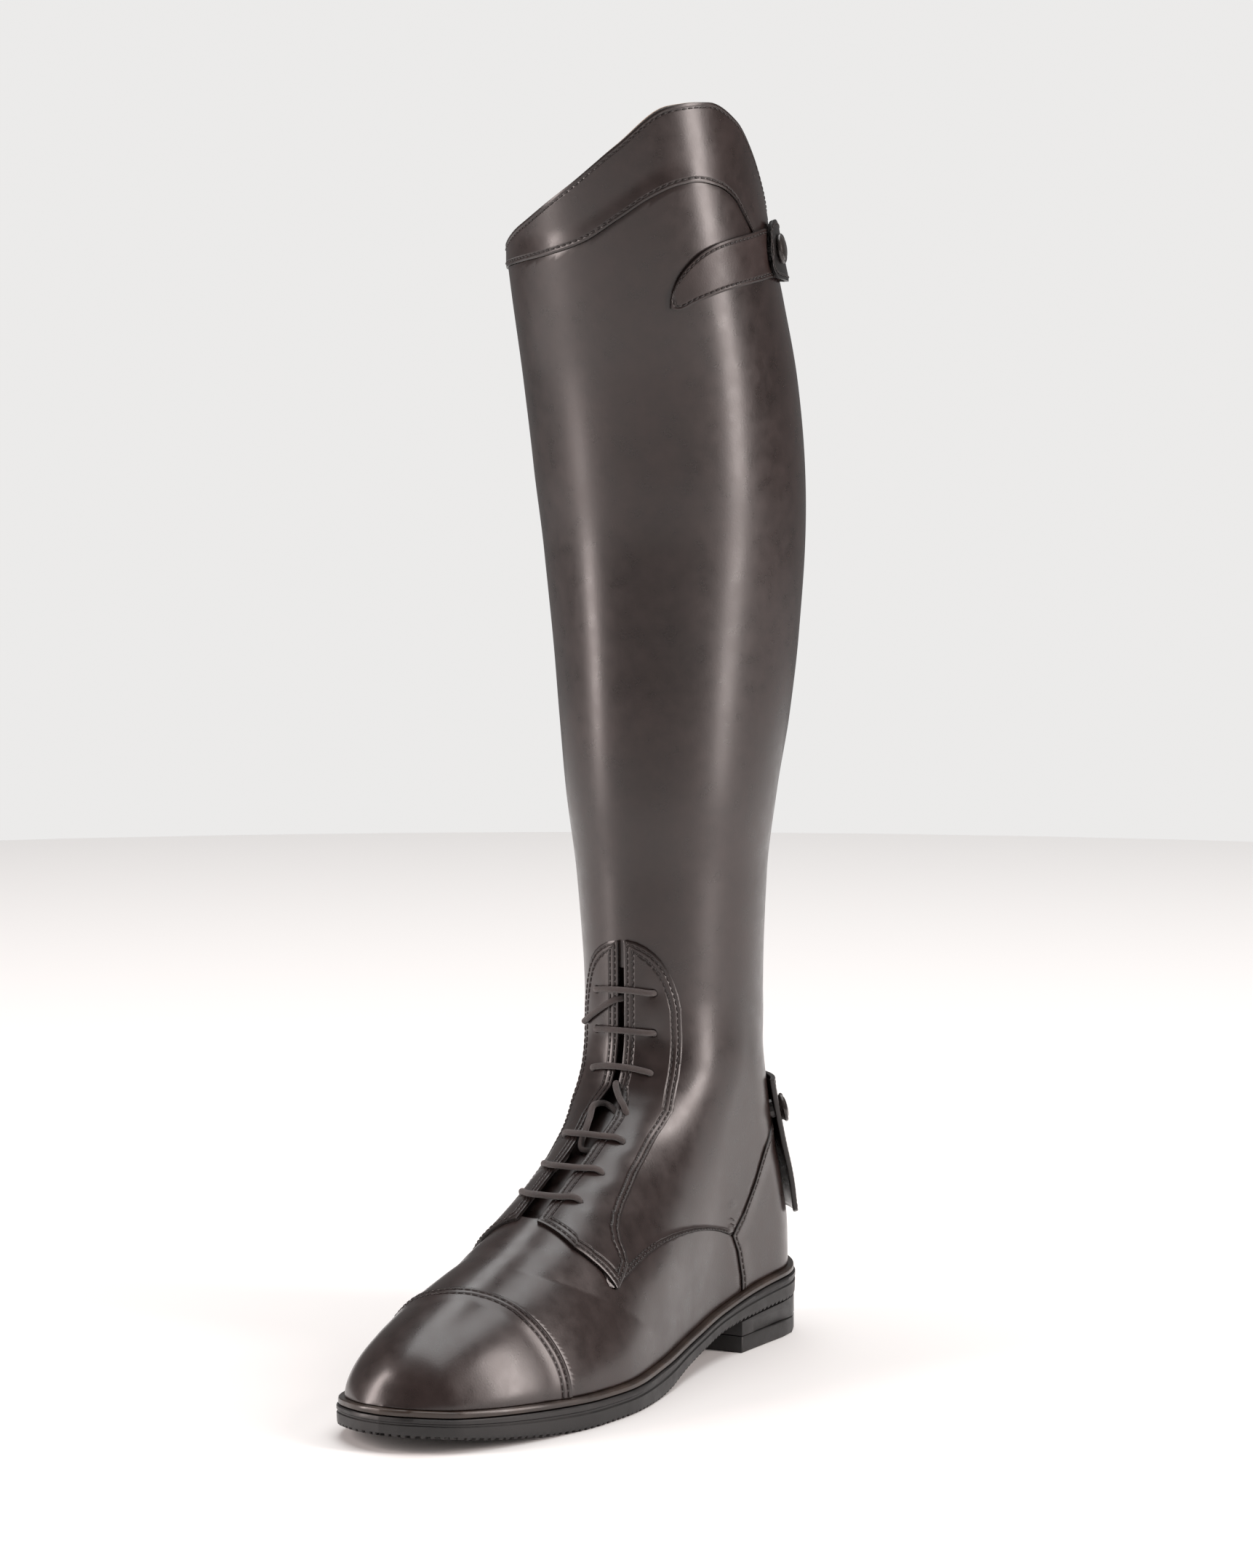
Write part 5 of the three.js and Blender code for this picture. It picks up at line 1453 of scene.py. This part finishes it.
@dataclass
class Closure:
    """The tab on the outer side, the snap strap over the zip and the patch that it springs from.

    Attributes:
        tab_from: Where the tab begins, degrees from the shin; the other angles are measured so too.
        tab_to: Where the tab ends.
        strap_from: Where the strap begins, at its snap.
        strap_to: Where the strap ends, over its anchor.
        anchor: Where the anchor patch begins and ends.
        anchor_heights: Its lower and upper edge, mm.
        strap_out: How far the strap's outer face stands out of the leg, mm.
        strap_thick: Its thickness, mm.
        edge_row: How far the stitches run from an edge, mm.
        snap_angle: Where the snap sits.
        snap_height: How high it sits, mm.
        snap_size: The cap's radius and height, mm.
        degree: The length of one degree round the leg, mm.
    """

    tab_from: float = 43.0
    tab_to: float = 122.0
    strap_from: float = 96.0
    strap_to: float = 231.0
    strap_out: float = 3.9
    strap_thick: float = 1.7
    anchor: tuple[float, float] = (-134.0, -112.0)
    anchor_heights: tuple[float, float] = (443.0, 467.0)
    edge_row: float = 1.6
    snap_angle: float = 107.0
    snap_height: float = 458.0
    snap_size: tuple[float, float] = (6.2, 2.4)
    degree: float = 0.95

    def __post_init__(self) -> None:
        """Draws the upper and lower edge of each band."""
        self.tab_top = SmoothCurve([(43, 438), (44, 442.5), (46, 447), (50, 452), (56, 457), (65, 460.8),
                                    (80, 464), (98, 466.5), (126, 466.5)])
        self.tab_low = SmoothCurve([(43, 434.5), (46, 433.8), (54, 437), (70, 442), (90, 445.5), (104, 447),
                                    (126, 447)])
        self.strap_top = SmoothCurve([(96, 459), (96.6, 463.5), (98.5, 467), (101.5, 469.3), (106, 470),
                                      (130, 467), (232, 466)])
        self.strap_low = SmoothCurve([(96, 457), (96.6, 452.5), (98.5, 449), (101.5, 446.6), (106, 446),
                                      (130, 444.5), (232, 445)])

    def band(self, name: str, low: SmoothCurve, top: SmoothCurve, across: Array, out: float, thick: float,
             rows: tuple[float, ...], ends: tuple[bool, bool]) -> Sheet:
        """Returns a band round the leg between two edges.

        Args:
            name: The piece's name.
            low: Height of its lower edge by angle.
            top: Height of its upper edge by angle.
            across: Its angles from the shin.
            out: How far its outer face stands out of the leg, mm.
            thick: Its thickness, mm.
            rows: Distances of its rows of stitches from its edges, mm.
            ends: Whether its first and last end are stitched too.
        """
        def surface(u: Array, v: Array) -> Array:
            """Returns points of the band; v runs from its upper edge to its lower edge."""
            return FORM.leg_side(u, mix(top(u), low(u), v))

        def inside(u: Array, v: Array, points: Array) -> Array:
            """Returns the distance from the band's nearest stitched edge."""
            tall = top(u) - low(u)
            away = np.minimum(v, 1 - v) * tall
            if ends[0]:
                away = np.minimum(away, (u - across.min()) * self.degree)
            if ends[1]:
                away = np.minimum(away, (across.max() - u) * self.degree)
            return away

        return Sheet(name, surface, across, np.linspace(0, 1, 17), thick, out,
                     seams=(Seam(inside, rows, -0.3, 1.8),), edge=0.3)

    def build(self) -> None:
        """Builds and dresses the tab, the strap, its anchor patch and its snap."""
        start = self.tab_from + np.array([0, 0.15, 0.5, 1.0, 1.8, 3.0, 4.5, 6.5, 9.0, 12.0])
        tab = self.band("calf_closure_tab", self.tab_low, self.tab_top,
                        np.concatenate([start, angles(56.5, self.tab_to, 1.8)]), GLUE + OVERLAY, OVERLAY,
                        (self.edge_row,), (True, False))
        finish_sheet(tab, TAB_CALF, "boot", "tab_leather", "closure_tab", 2.6)
        start = self.strap_from + np.array([0, 0.1, 0.35, 0.8, 1.5, 2.6, 4.0, 6.0, 8.0])
        strap = self.band("calf_snap_strap", self.strap_low, self.strap_top,
                          np.concatenate([start, angles(106, self.strap_to, 1.8)]), self.strap_out,
                          self.strap_thick, (self.edge_row,), (True, False))
        strap.thread = "snap_strap"
        finish_sheet(strap, BLACK_CALF, "snap_strap", "black_leather", "closure_strap", 2.6)
        low, top = (SmoothCurve([(-FAR, height), (FAR, height)]) for height in self.anchor_heights)
        patch = self.band("calf_strap_anchor", low, top, angles(*self.anchor, 1.8), OVERLAY,
                          OVERLAY - GLUE, (self.edge_row,), (True, True))
        finish_sheet(patch, BLACK_CALF, "boot", "black_leather", "strap_anchor", 2.6)
        angle, height = np.array(self.snap_angle), np.array(self.snap_height)
        place = FORM.leg_side(angle, height)
        turned = FORM.leg_side(angle + 1.0, height) - place
        lifted = FORM.leg_side(angle, height + 1.0) - place
        out = unit(np.cross(turned, lifted))
        cap = snap_cap("snap_cap_top", place + out * (self.strap_out + GLUE), out, *self.snap_size)
        dress(cap, SNAP_METAL, "snap_strap", "snap_metal", "strap_snap_cap")


# ------------------------------------------------------------------ zip
@dataclass
class Zip:
    """The rear zip: two woven tapes, two rows of teeth, the slider, its puller and the stops.

    Attributes:
        nodes: The CAD nodes by name.
        low: Height of the lowest tooth, mm.
        top: Height of the highest tooth, mm.
        pitch: From tooth to tooth on one side, mm.
        tape: How far each tape's inner and outer edge stand from the middle line, mm.
        tape_ends: Height of its top and foot, mm.
        tape_thick: Its thickness, mm.
        tape_depth: How far its outer face stands out of the back line, mm.
        tooth: A tooth's length across, width and depth, mm.
        tooth_edge: How much its edges are rounded, mm.
        tooth_aside: How far its middle stands from the zip's middle line, mm.
        tooth_out: How far its middle stands out of the back line, mm.
        moving: The pieces that are bodies of their own.
    """

    nodes: dict[str, bpy.types.Object]
    low: float = 100.0
    top: float = 436.0
    pitch: float = 2.4
    tape: tuple[float, float] = (0.2, 7.1)
    tape_ends: tuple[float, float] = (462.0, 94.0)
    tape_thick: float = 1.0
    tape_depth: float = -0.4
    tooth: tuple[float, float, float] = (2.9, 1.35, 1.6)
    tooth_edge: float = 0.28
    tooth_aside: float = 0.75
    tooth_out: float = 0.35
    moving: tuple[str, str] = ("zip_slider", "zip_puller")

    def back(self, across: Array, height: Array) -> Array:
        """Returns points on the back of the leg beside the zip's middle line."""
        y = np.where(height >= FORM.ankle, FORM.leg_back(height), FORM.heel_back(height))
        half = np.maximum(FORM.leg_half(height), 30.0)
        deep = (FORM.leg_back(height) - FORM.leg_front(height)) / 2
        round_off = deep * (1 - np.sqrt(1 - (across / half) ** 2))
        return np.stack([FORM.centre_x(height) + across, y - round_off, height + 0.0 * across], axis=-1)

    def build(self) -> None:
        """Builds and dresses the whole zip."""
        for name, side in (("outer", 1.0), ("inner", -1.0)):
            edges = np.sort(-side * np.linspace(*self.tape, 8))
            tape = Sheet(f"zip_tape_woven_{name}", lambda u, v: self.back(-u, v), edges,
                         np.linspace(*self.tape_ends, 150), self.tape_thick, self.tape_depth, edge=0.0,
                         normal=lambda u, v: self.out_of_back(-u, v))
            dress(tape.build(), ZIP_TAPE, "boot", "zip_tape", f"zip_tape_{name}")
            self.teeth(name, side)
        for node in ("zip_slider", "zip_puller", "zip_top_stop", "zip_bottom_stop"):
            body = node if node in self.moving else "boot"
            piece = rounded_copy(self.nodes[node], f"{node}_cast", 0.22, 40.0)
            dress(piece, ZIP_BRASS, body, "zip_metal", node)

    def out_of_back(self, across: Array, height: Array) -> Array:
        """Returns the direction out of the back of the leg."""
        rise = self.back(across * 0, height + 0.5) - self.back(across * 0, height - 0.5)
        flat = np.stack([0 * across, rise[..., 2], -rise[..., 1]], axis=-1)
        lean = np.stack([-across / 45.0, 0 * across, 0 * across], axis=-1)
        return unit(unit(flat) + lean)

    def teeth(self, name: str, side: float) -> None:
        """Builds one row of teeth, each a cast block with rounded edges."""
        deselect()
        bpy.ops.mesh.primitive_cube_add(size=1.0)
        tooth = bpy.context.object
        bpy.ops.object.mode_set(mode="EDIT")
        bpy.ops.mesh.select_all(action="SELECT")
        bpy.ops.transform.resize(value=self.tooth, center_override=(0, 0, 0))
        bpy.ops.mesh.bevel(offset=self.tooth_edge, segments=1)
        bpy.ops.object.mode_set(mode="OBJECT")
        first = self.low + (self.pitch / 2 if side < 0 else 0.0)
        heights = np.arange(first, self.top, self.pitch)
        places = self.back(np.full(len(heights), side * self.tooth_aside), heights)
        out = self.out_of_back(np.zeros(len(heights)), heights)
        row = copies(f"zip_teeth_cast_{name}", tooth, places + out * self.tooth_out,
                     np.tile([1.0, 0.0, 0.0], (len(heights), 1)), out)
        dress(row, ZIP_BRASS, "boot", "zip_metal", f"zip_teeth_{name}")


# ------------------------------------------------------------------ heel guard
@dataclass
class HeelGuard:
    """The stiff shield over the foot of the zip, with its snap.

    Attributes:
        thick: Its thickness, mm.
        angle_from: Where it begins on the inner side, degrees from straight back.
        angle_to: Where it ends on the outer side.
        low: Its lowest edge, mm.
        top: Its top edge, mm.
        snap: The angle and height of its snap.
        snap_size: The cap's radius and height, mm.
        snap_lean: How much the cap faces up.
        degree: The length of one degree round it, mm.
    """

    thick: float = 2.2
    angle_from: float = -66.0
    angle_to: float = 69.0
    low: float = 51.5
    top: float = 112.0
    snap: tuple[float, float] = (58.0, 98.0)
    snap_size: tuple[float, float] = (6.2, 2.4)
    snap_lean: float = 0.25
    degree: float = 0.62

    def __post_init__(self) -> None:
        """Draws the shield's section at each height."""
        table = ((48, 31, 34.6, 34.6), (66, 25, 35.2, 36.2), (86, 15, 35.6, 38), (104, 7, 35.8, 39.4),
                 (116, 3, 35.4, 39.6))
        self.y = SmoothCurve((row[0], row[1]) for row in table)
        self.across = SmoothCurve((row[0], row[2]) for row in table)
        self.back = SmoothCurve((row[0], row[3]) for row in table)

    def point(self, angle: Array, height: Array) -> Array:
        """Returns points on the shield's outer face; the angle is from straight back."""
        turn = np.radians(-angle)
        x = self.across(height) * np.sin(turn)
        y = self.y(height) + self.back(height) * np.cos(turn)
        return np.stack([x, y, height + 0.0 * x], axis=-1)

    def build(self) -> None:
        """Builds and dresses the guard and its snap."""
        shape = Outline([(-FAR, 112), (FAR, 112), (FAR, 52), (46, 51), (38, 54), (30, 58), (24.5, 64),
                         (20, 70), (9, 86), (1, 98), (-3, 106), (-6, 112)], SIDE)

        def inside(u: Array, v: Array, points: Array) -> Array:
            """Returns how far inside the shield's outline each point is."""
            ends = np.minimum(u + self.angle_to, -self.angle_from - u) * self.degree
            return np.minimum(shape.inside(points), ends)

        sheet = Sheet("calf_heel_guard", self.point, angles(-self.angle_to, -self.angle_from, 1.6),
                      np.linspace(self.top, self.low, 48), self.thick, 0.0, inside,
                      (Seam(inside, (2.0,), -0.4, 2.4),), edge=0.5)
        sheet.thread = "heel_guard"
        finish_sheet(sheet, CALF, "heel_guard", "calf_leather", "zip_guard", 2.6)
        angle, height = self.snap
        turn = math.radians(angle)
        out = unit(np.array([math.sin(turn), math.cos(turn), self.snap_lean]))
        level = np.array([math.sin(turn), math.cos(turn), 0])
        seat = self.point(np.array(-angle), np.array(height)) + level * GLUE
        cap = snap_cap("snap_cap_guard", seat + out * 0.5, out, *self.snap_size)
        dress(cap, SNAP_METAL, "heel_guard", "snap_metal", "guard_snap_cap")


# ------------------------------------------------------------------ sole
@dataclass
class Sole:
    """Welt and outsole lofted round the foot's plan, and the heel block and top piece copied from their CAD
    solids and rounded.

    Attributes:
        nodes: The CAD nodes by name.
        toe: Where the outline ends at the toe, mm.
        heel: Where it ends at the heel, mm.
        heel_round: Length of its rounding at the heel, mm.
        grow: How far the outsole stands out of the last, mm.
        welt: Thickness of the welt, mm.
        notch: From notch to notch along the lower edge, mm.
        notch_up: How far a notch goes up the edge, mm.
        notch_in: How far a notch goes into the edge, mm.
    """

    nodes: dict[str, bpy.types.Object]
    toe: float = -226.0
    heel: float = 61.0
    heel_round: float = 31.0
    grow: float = 3.2
    welt: float = 2.6
    notch: float = 3.4
    notch_up: float = 0.9
    notch_in: float = 0.7

    def __post_init__(self) -> None:
        """Draws the tread line."""
        self.tread = SmoothCurve([(-245, 8), (-226, 6.5), (-195, 2.5), (-158, 0), (-100, 0), (-60, 6),
                                  (-9, 13.5), (80, 17.5)])

    def side_rows(self, step: float) -> Array:
        """Returns places along the foot so that points on the outline are a step of mm apart."""
        dense = mix(self.toe, self.heel, (1 - np.cos(np.linspace(0, math.pi, 4000))) / 2)
        x = self.half(dense, 1.0)
        travelled = np.concatenate([[0.0], np.cumsum(np.hypot(np.diff(dense), np.diff(x)))])
        count = int(travelled[-1] / step)
        return np.interp(np.linspace(0, travelled[-1], count + 1), travelled, dense)

    def half(self, y: Array, side: float) -> Array:
        """Returns the plan's half width at y on one side."""
        from_heel = np.clip((self.heel - y) / self.heel_round, 0, 1)
        heel = np.sqrt(np.maximum(0.0, 1 - (1 - from_heel) ** 2))
        return (FORM.plan_outer(y) if side > 0 else FORM.plan_inner(y)) * heel

    def loop(self, step: float) -> tuple[Array, Array]:
        """Returns the plan's outline as a closed loop, and the direction out of it."""
        y = self.side_rows(step)
        outer = np.stack([FORM.plan_centre(y) + self.half(y, 1.0), y], axis=1)
        inner = np.stack([FORM.plan_centre(y) - self.half(y, -1.0), y], axis=1)[::-1]
        loop = np.concatenate([outer, inner])
        ahead, behind = np.roll(loop, -2, axis=0), np.roll(loop, 2, axis=0)
        run = unit(ahead - behind)
        return loop, np.stack([run[:, 1], -run[:, 0]], axis=1)

    def slab(self, name: str, rows: Sequence[tuple[float, Callable[[Array], Array]]],
             step: float, notched: int | None = None) -> bpy.types.Object:
        """Lofts a closed slab through rows round the outline.

        Args:
            name: The piece's name.
            rows: From the top inward edge, over the side, to the bottom: how far each row stands
                out of the plan in mm, and its height by place along the foot.
            step: Between points on the outline, mm.
            notched: The row whose lower edge is notched, or None.

        Returns:
            The slab.
        """
        loop, out = self.loop(step)
        loop, out = np.vstack([loop, loop[:1]]), np.vstack([out, out[:1]])
        lengths = np.concatenate([[0.0], np.cumsum(np.linalg.norm(np.diff(loop, axis=0), axis=1))])
        middle = np.stack([FORM.plan_centre(loop[:, 1]), loop[:, 1]], axis=1)
        rings = []
        for share in (0.0, 0.25, 0.5, 0.75, 0.92):
            flat = mix(middle, loop + out * rows[0][0], share)
            rings.append(np.column_stack([flat, rows[0][1](flat[:, 1])]))
        for index, (stand, height) in enumerate(rows):
            flat = loop + out * stand
            z = height(flat[:, 1])
            if notched is not None and index in (notched, notched + 1):
                tooth = (np.sin(lengths / self.notch * 2 * math.pi) > 0.45).astype(float)
                z = z + self.notch_up * tooth
                flat = flat - out * (self.notch_in * tooth)[:, None]
            rings.append(np.column_stack([flat, z]))
        for share in (0.96, 0.9, 0.75, 0.5, 0.25, 0.0):
            flat = mix(middle, loop + out * rows[-1][0], share)
            rings.append(np.column_stack([flat, rows[-1][1](flat[:, 1])]))
        piece = grid_piece(name, np.stack(rings)[::-1])
        weld(piece, 0.02, outward=True)
        smooth_shading(piece, 38.0)
        return piece

    def build(self) -> None:
        """Builds and dresses the sole's pieces."""
        stand, tread = self.grow, self.tread

        def top(y: Array) -> Array:
            """Returns the height of the welt's upper face."""
            return FORM.feather(y) - GLUE

        def low(y: Array) -> Array:
            """Returns the height of the welt's lower face."""
            return top(y) - self.welt

        def side(share: float) -> Callable[[Array], Array]:
            """Returns the heights a share of the way down the outsole's side."""
            return lambda y: mix(low(y) - GLUE, tread(y), share)

        welt = self.slab("leather_welt", [
            (stand - 1.5, top), (stand - 1.0, lambda y: top(y) - 0.08), (stand - 0.7, lambda y: top(y) - 0.4),
            (stand - 0.6, lambda y: mix(top(y), low(y), 0.5)), (stand - 0.7, lambda y: low(y) + 0.3),
            (stand - 1.1, low)], step=1.6)
        dress(welt, WELT_LEATHER, "boot", "welt_leather", "welt", "cork_filler", "shank")
        outsole = self.slab("rubber_outsole", [
            (stand - 1.2, side(0)), (stand - 0.35, lambda y: side(0)(y) - 0.05),
            (stand, lambda y: side(0)(y) - 0.5), (stand, side(0.22)), (stand - 0.5, side(0.27)),
            (stand - 0.55, side(0.34)), (stand - 0.05, side(0.4)), (stand - 0.1, side(0.7)),
            (stand - 0.2, lambda y: tread(y) + 1.1), (stand - 0.5, lambda y: tread(y) + 0.25),
            (stand - 1.0, tread)], step=0.7, notched=9)
        dress(outsole, RUBBER, "boot", "sole_rubber", "outsole")
        for node in ("heel_block", "heel_top_piece"):
            piece = rounded_copy(self.nodes[node], f"rubber_{node}", 0.5, 35.0)
            dress(piece, RUBBER, "boot", "sole_rubber", node)


# ------------------------------------------------------------------ studio
@dataclass
class Studio:
    """A pale floor, soft lights and the camera.

    Attributes:
        eye: Where the camera stands, m.
        azimuth: Which way it looks, degrees.
        dip: How far it looks down, degrees.
        lens: Its focal length, mm.
        floor: The floor's radius, m.
        room: Strength of the room's light on the boot.
        backdrop: Strength of the backdrop in the picture.
    """

    eye: tuple[float, float, float] = (0.9479, -1.6807, 0.4412)
    azimuth: float = 28.864
    dip: float = 5.836
    lens: float = 138.34
    floor: float = 2.0
    room: float = 0.2
    backdrop: float = 0.9

    def place_camera(self) -> None:
        """Sets up the camera."""
        lens = bpy.data.cameras.new("camera")
        lens.lens, lens.sensor_width, lens.sensor_fit = self.lens, 36.0, "HORIZONTAL"
        lens.clip_end = 50.0
        camera = bpy.data.objects.new("camera", lens)
        camera.location = self.eye
        camera.rotation_euler = (math.radians(90 - self.dip), 0.0, math.radians(self.azimuth))
        bpy.context.scene.collection.objects.link(camera)
        bpy.context.scene.camera = camera

    def panel(self, name: str, turn: float, distance: float, height: float, size: tuple[float, float],
              watts: float, tint: str) -> None:
        """Hangs a soft light.

        Args:
            name: The light's name.
            turn: Where it stands round the boot, degrees from the front toward the outer side.
            distance: From the boot, m.
            height: Of its middle, m.
            size: Width and height, m.
            watts: Its power.
            tint: Its colour, sRGB hex.
        """
        light = bpy.data.lights.new(name, "AREA")
        light.shape, light.size, light.size_y, light.energy = "RECTANGLE", size[0], size[1], watts
        light.color = srgb(tint)[:3]
        lamp = bpy.data.objects.new(name, light)
        way = math.radians(turn)
        lamp.location = (distance * math.sin(way), -distance * math.cos(way), height)
        aim = Vector((0.0, 0.0, 0.26)) - lamp.location
        lamp.rotation_euler = aim.to_track_quat("-Z", "Y").to_euler()
        bpy.context.scene.collection.objects.link(lamp)

    def light(self) -> None:
        """Lays the floor and hangs the lights."""
        deselect()
        bpy.ops.mesh.primitive_circle_add(vertices=96, radius=self.floor, fill_type="NGON")
        floor = bpy.context.object
        floor.name = "studio_floor"
        # Matt white paper: no gloss, so the boot's shadow is all that it shows
        paper = bpy.data.materials.new("paper_white_matt")
        paper.use_nodes = True
        shader = paper.node_tree.nodes["Principled BSDF"]
        shader.inputs["Base Color"].default_value = srgb("f4f3f2")
        shader.inputs["Roughness"].default_value = 0.9
        floor.data.materials.append(paper)
        world = bpy.data.worlds.new("studio")
        bpy.context.scene.world = world
        world.use_nodes = True
        tree = world.node_tree
        sky = tree.nodes["Background"]
        sky.inputs["Color"].default_value = srgb("f7f6f5")
        # The backdrop is bright, the room around it dim, so that the leather keeps its darks
        rays = add_node(tree, "ShaderNodeLightPath")
        strength = add_node(tree, "ShaderNodeMapRange", {
            "Value": rays.outputs["Is Camera Ray"], "To Min": self.room, "To Max": self.backdrop})
        tree.links.new(strength.outputs["Result"], sky.inputs["Strength"])
        bpy.context.scene.view_settings.view_transform = "Standard"
        self.panel("softbox_left", -50.0, 1.9, 0.8, (0.42, 1.9), 36.0, "fff0ec")
        self.panel("softbox_right", 98.0, 1.8, 0.8, (0.42, 1.9), 36.0, "fff2ee")
        self.panel("softbox_top", 180.0, 0.6, 3.2, (3.0, 3.0), 96.0, "ffffff")


def dress_cad(frame: dict) -> None:
    """Gives every CAD node the finish of its record slot; those that stay in view need one."""
    for row in frame["record"]["subparts"]:
        node = frame["nodes"].get(row["node"])
        finish = CAD_FINISHES.get(row["material_slot"])
        if node is not None and finish is not None:
            node.data.materials.clear()
            node.data.materials.append(finish.material())


def main() -> None:
    """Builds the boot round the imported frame, piece by piece."""
    logging.basicConfig(level=logging.INFO, format="%(message)s")
    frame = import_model()
    studio = Studio()
    studio.place_camera()
    nodes = frame["nodes"]
    for part in (Upper(), Lining(), Lacing(), Closure(), Zip(nodes), HeelGuard(), Sole(nodes)):
        LOG.info("building %s", type(part).__name__)
        part.build()
    dress_cad(frame)
    studio.light()


if __name__ == "__main__":
    main()
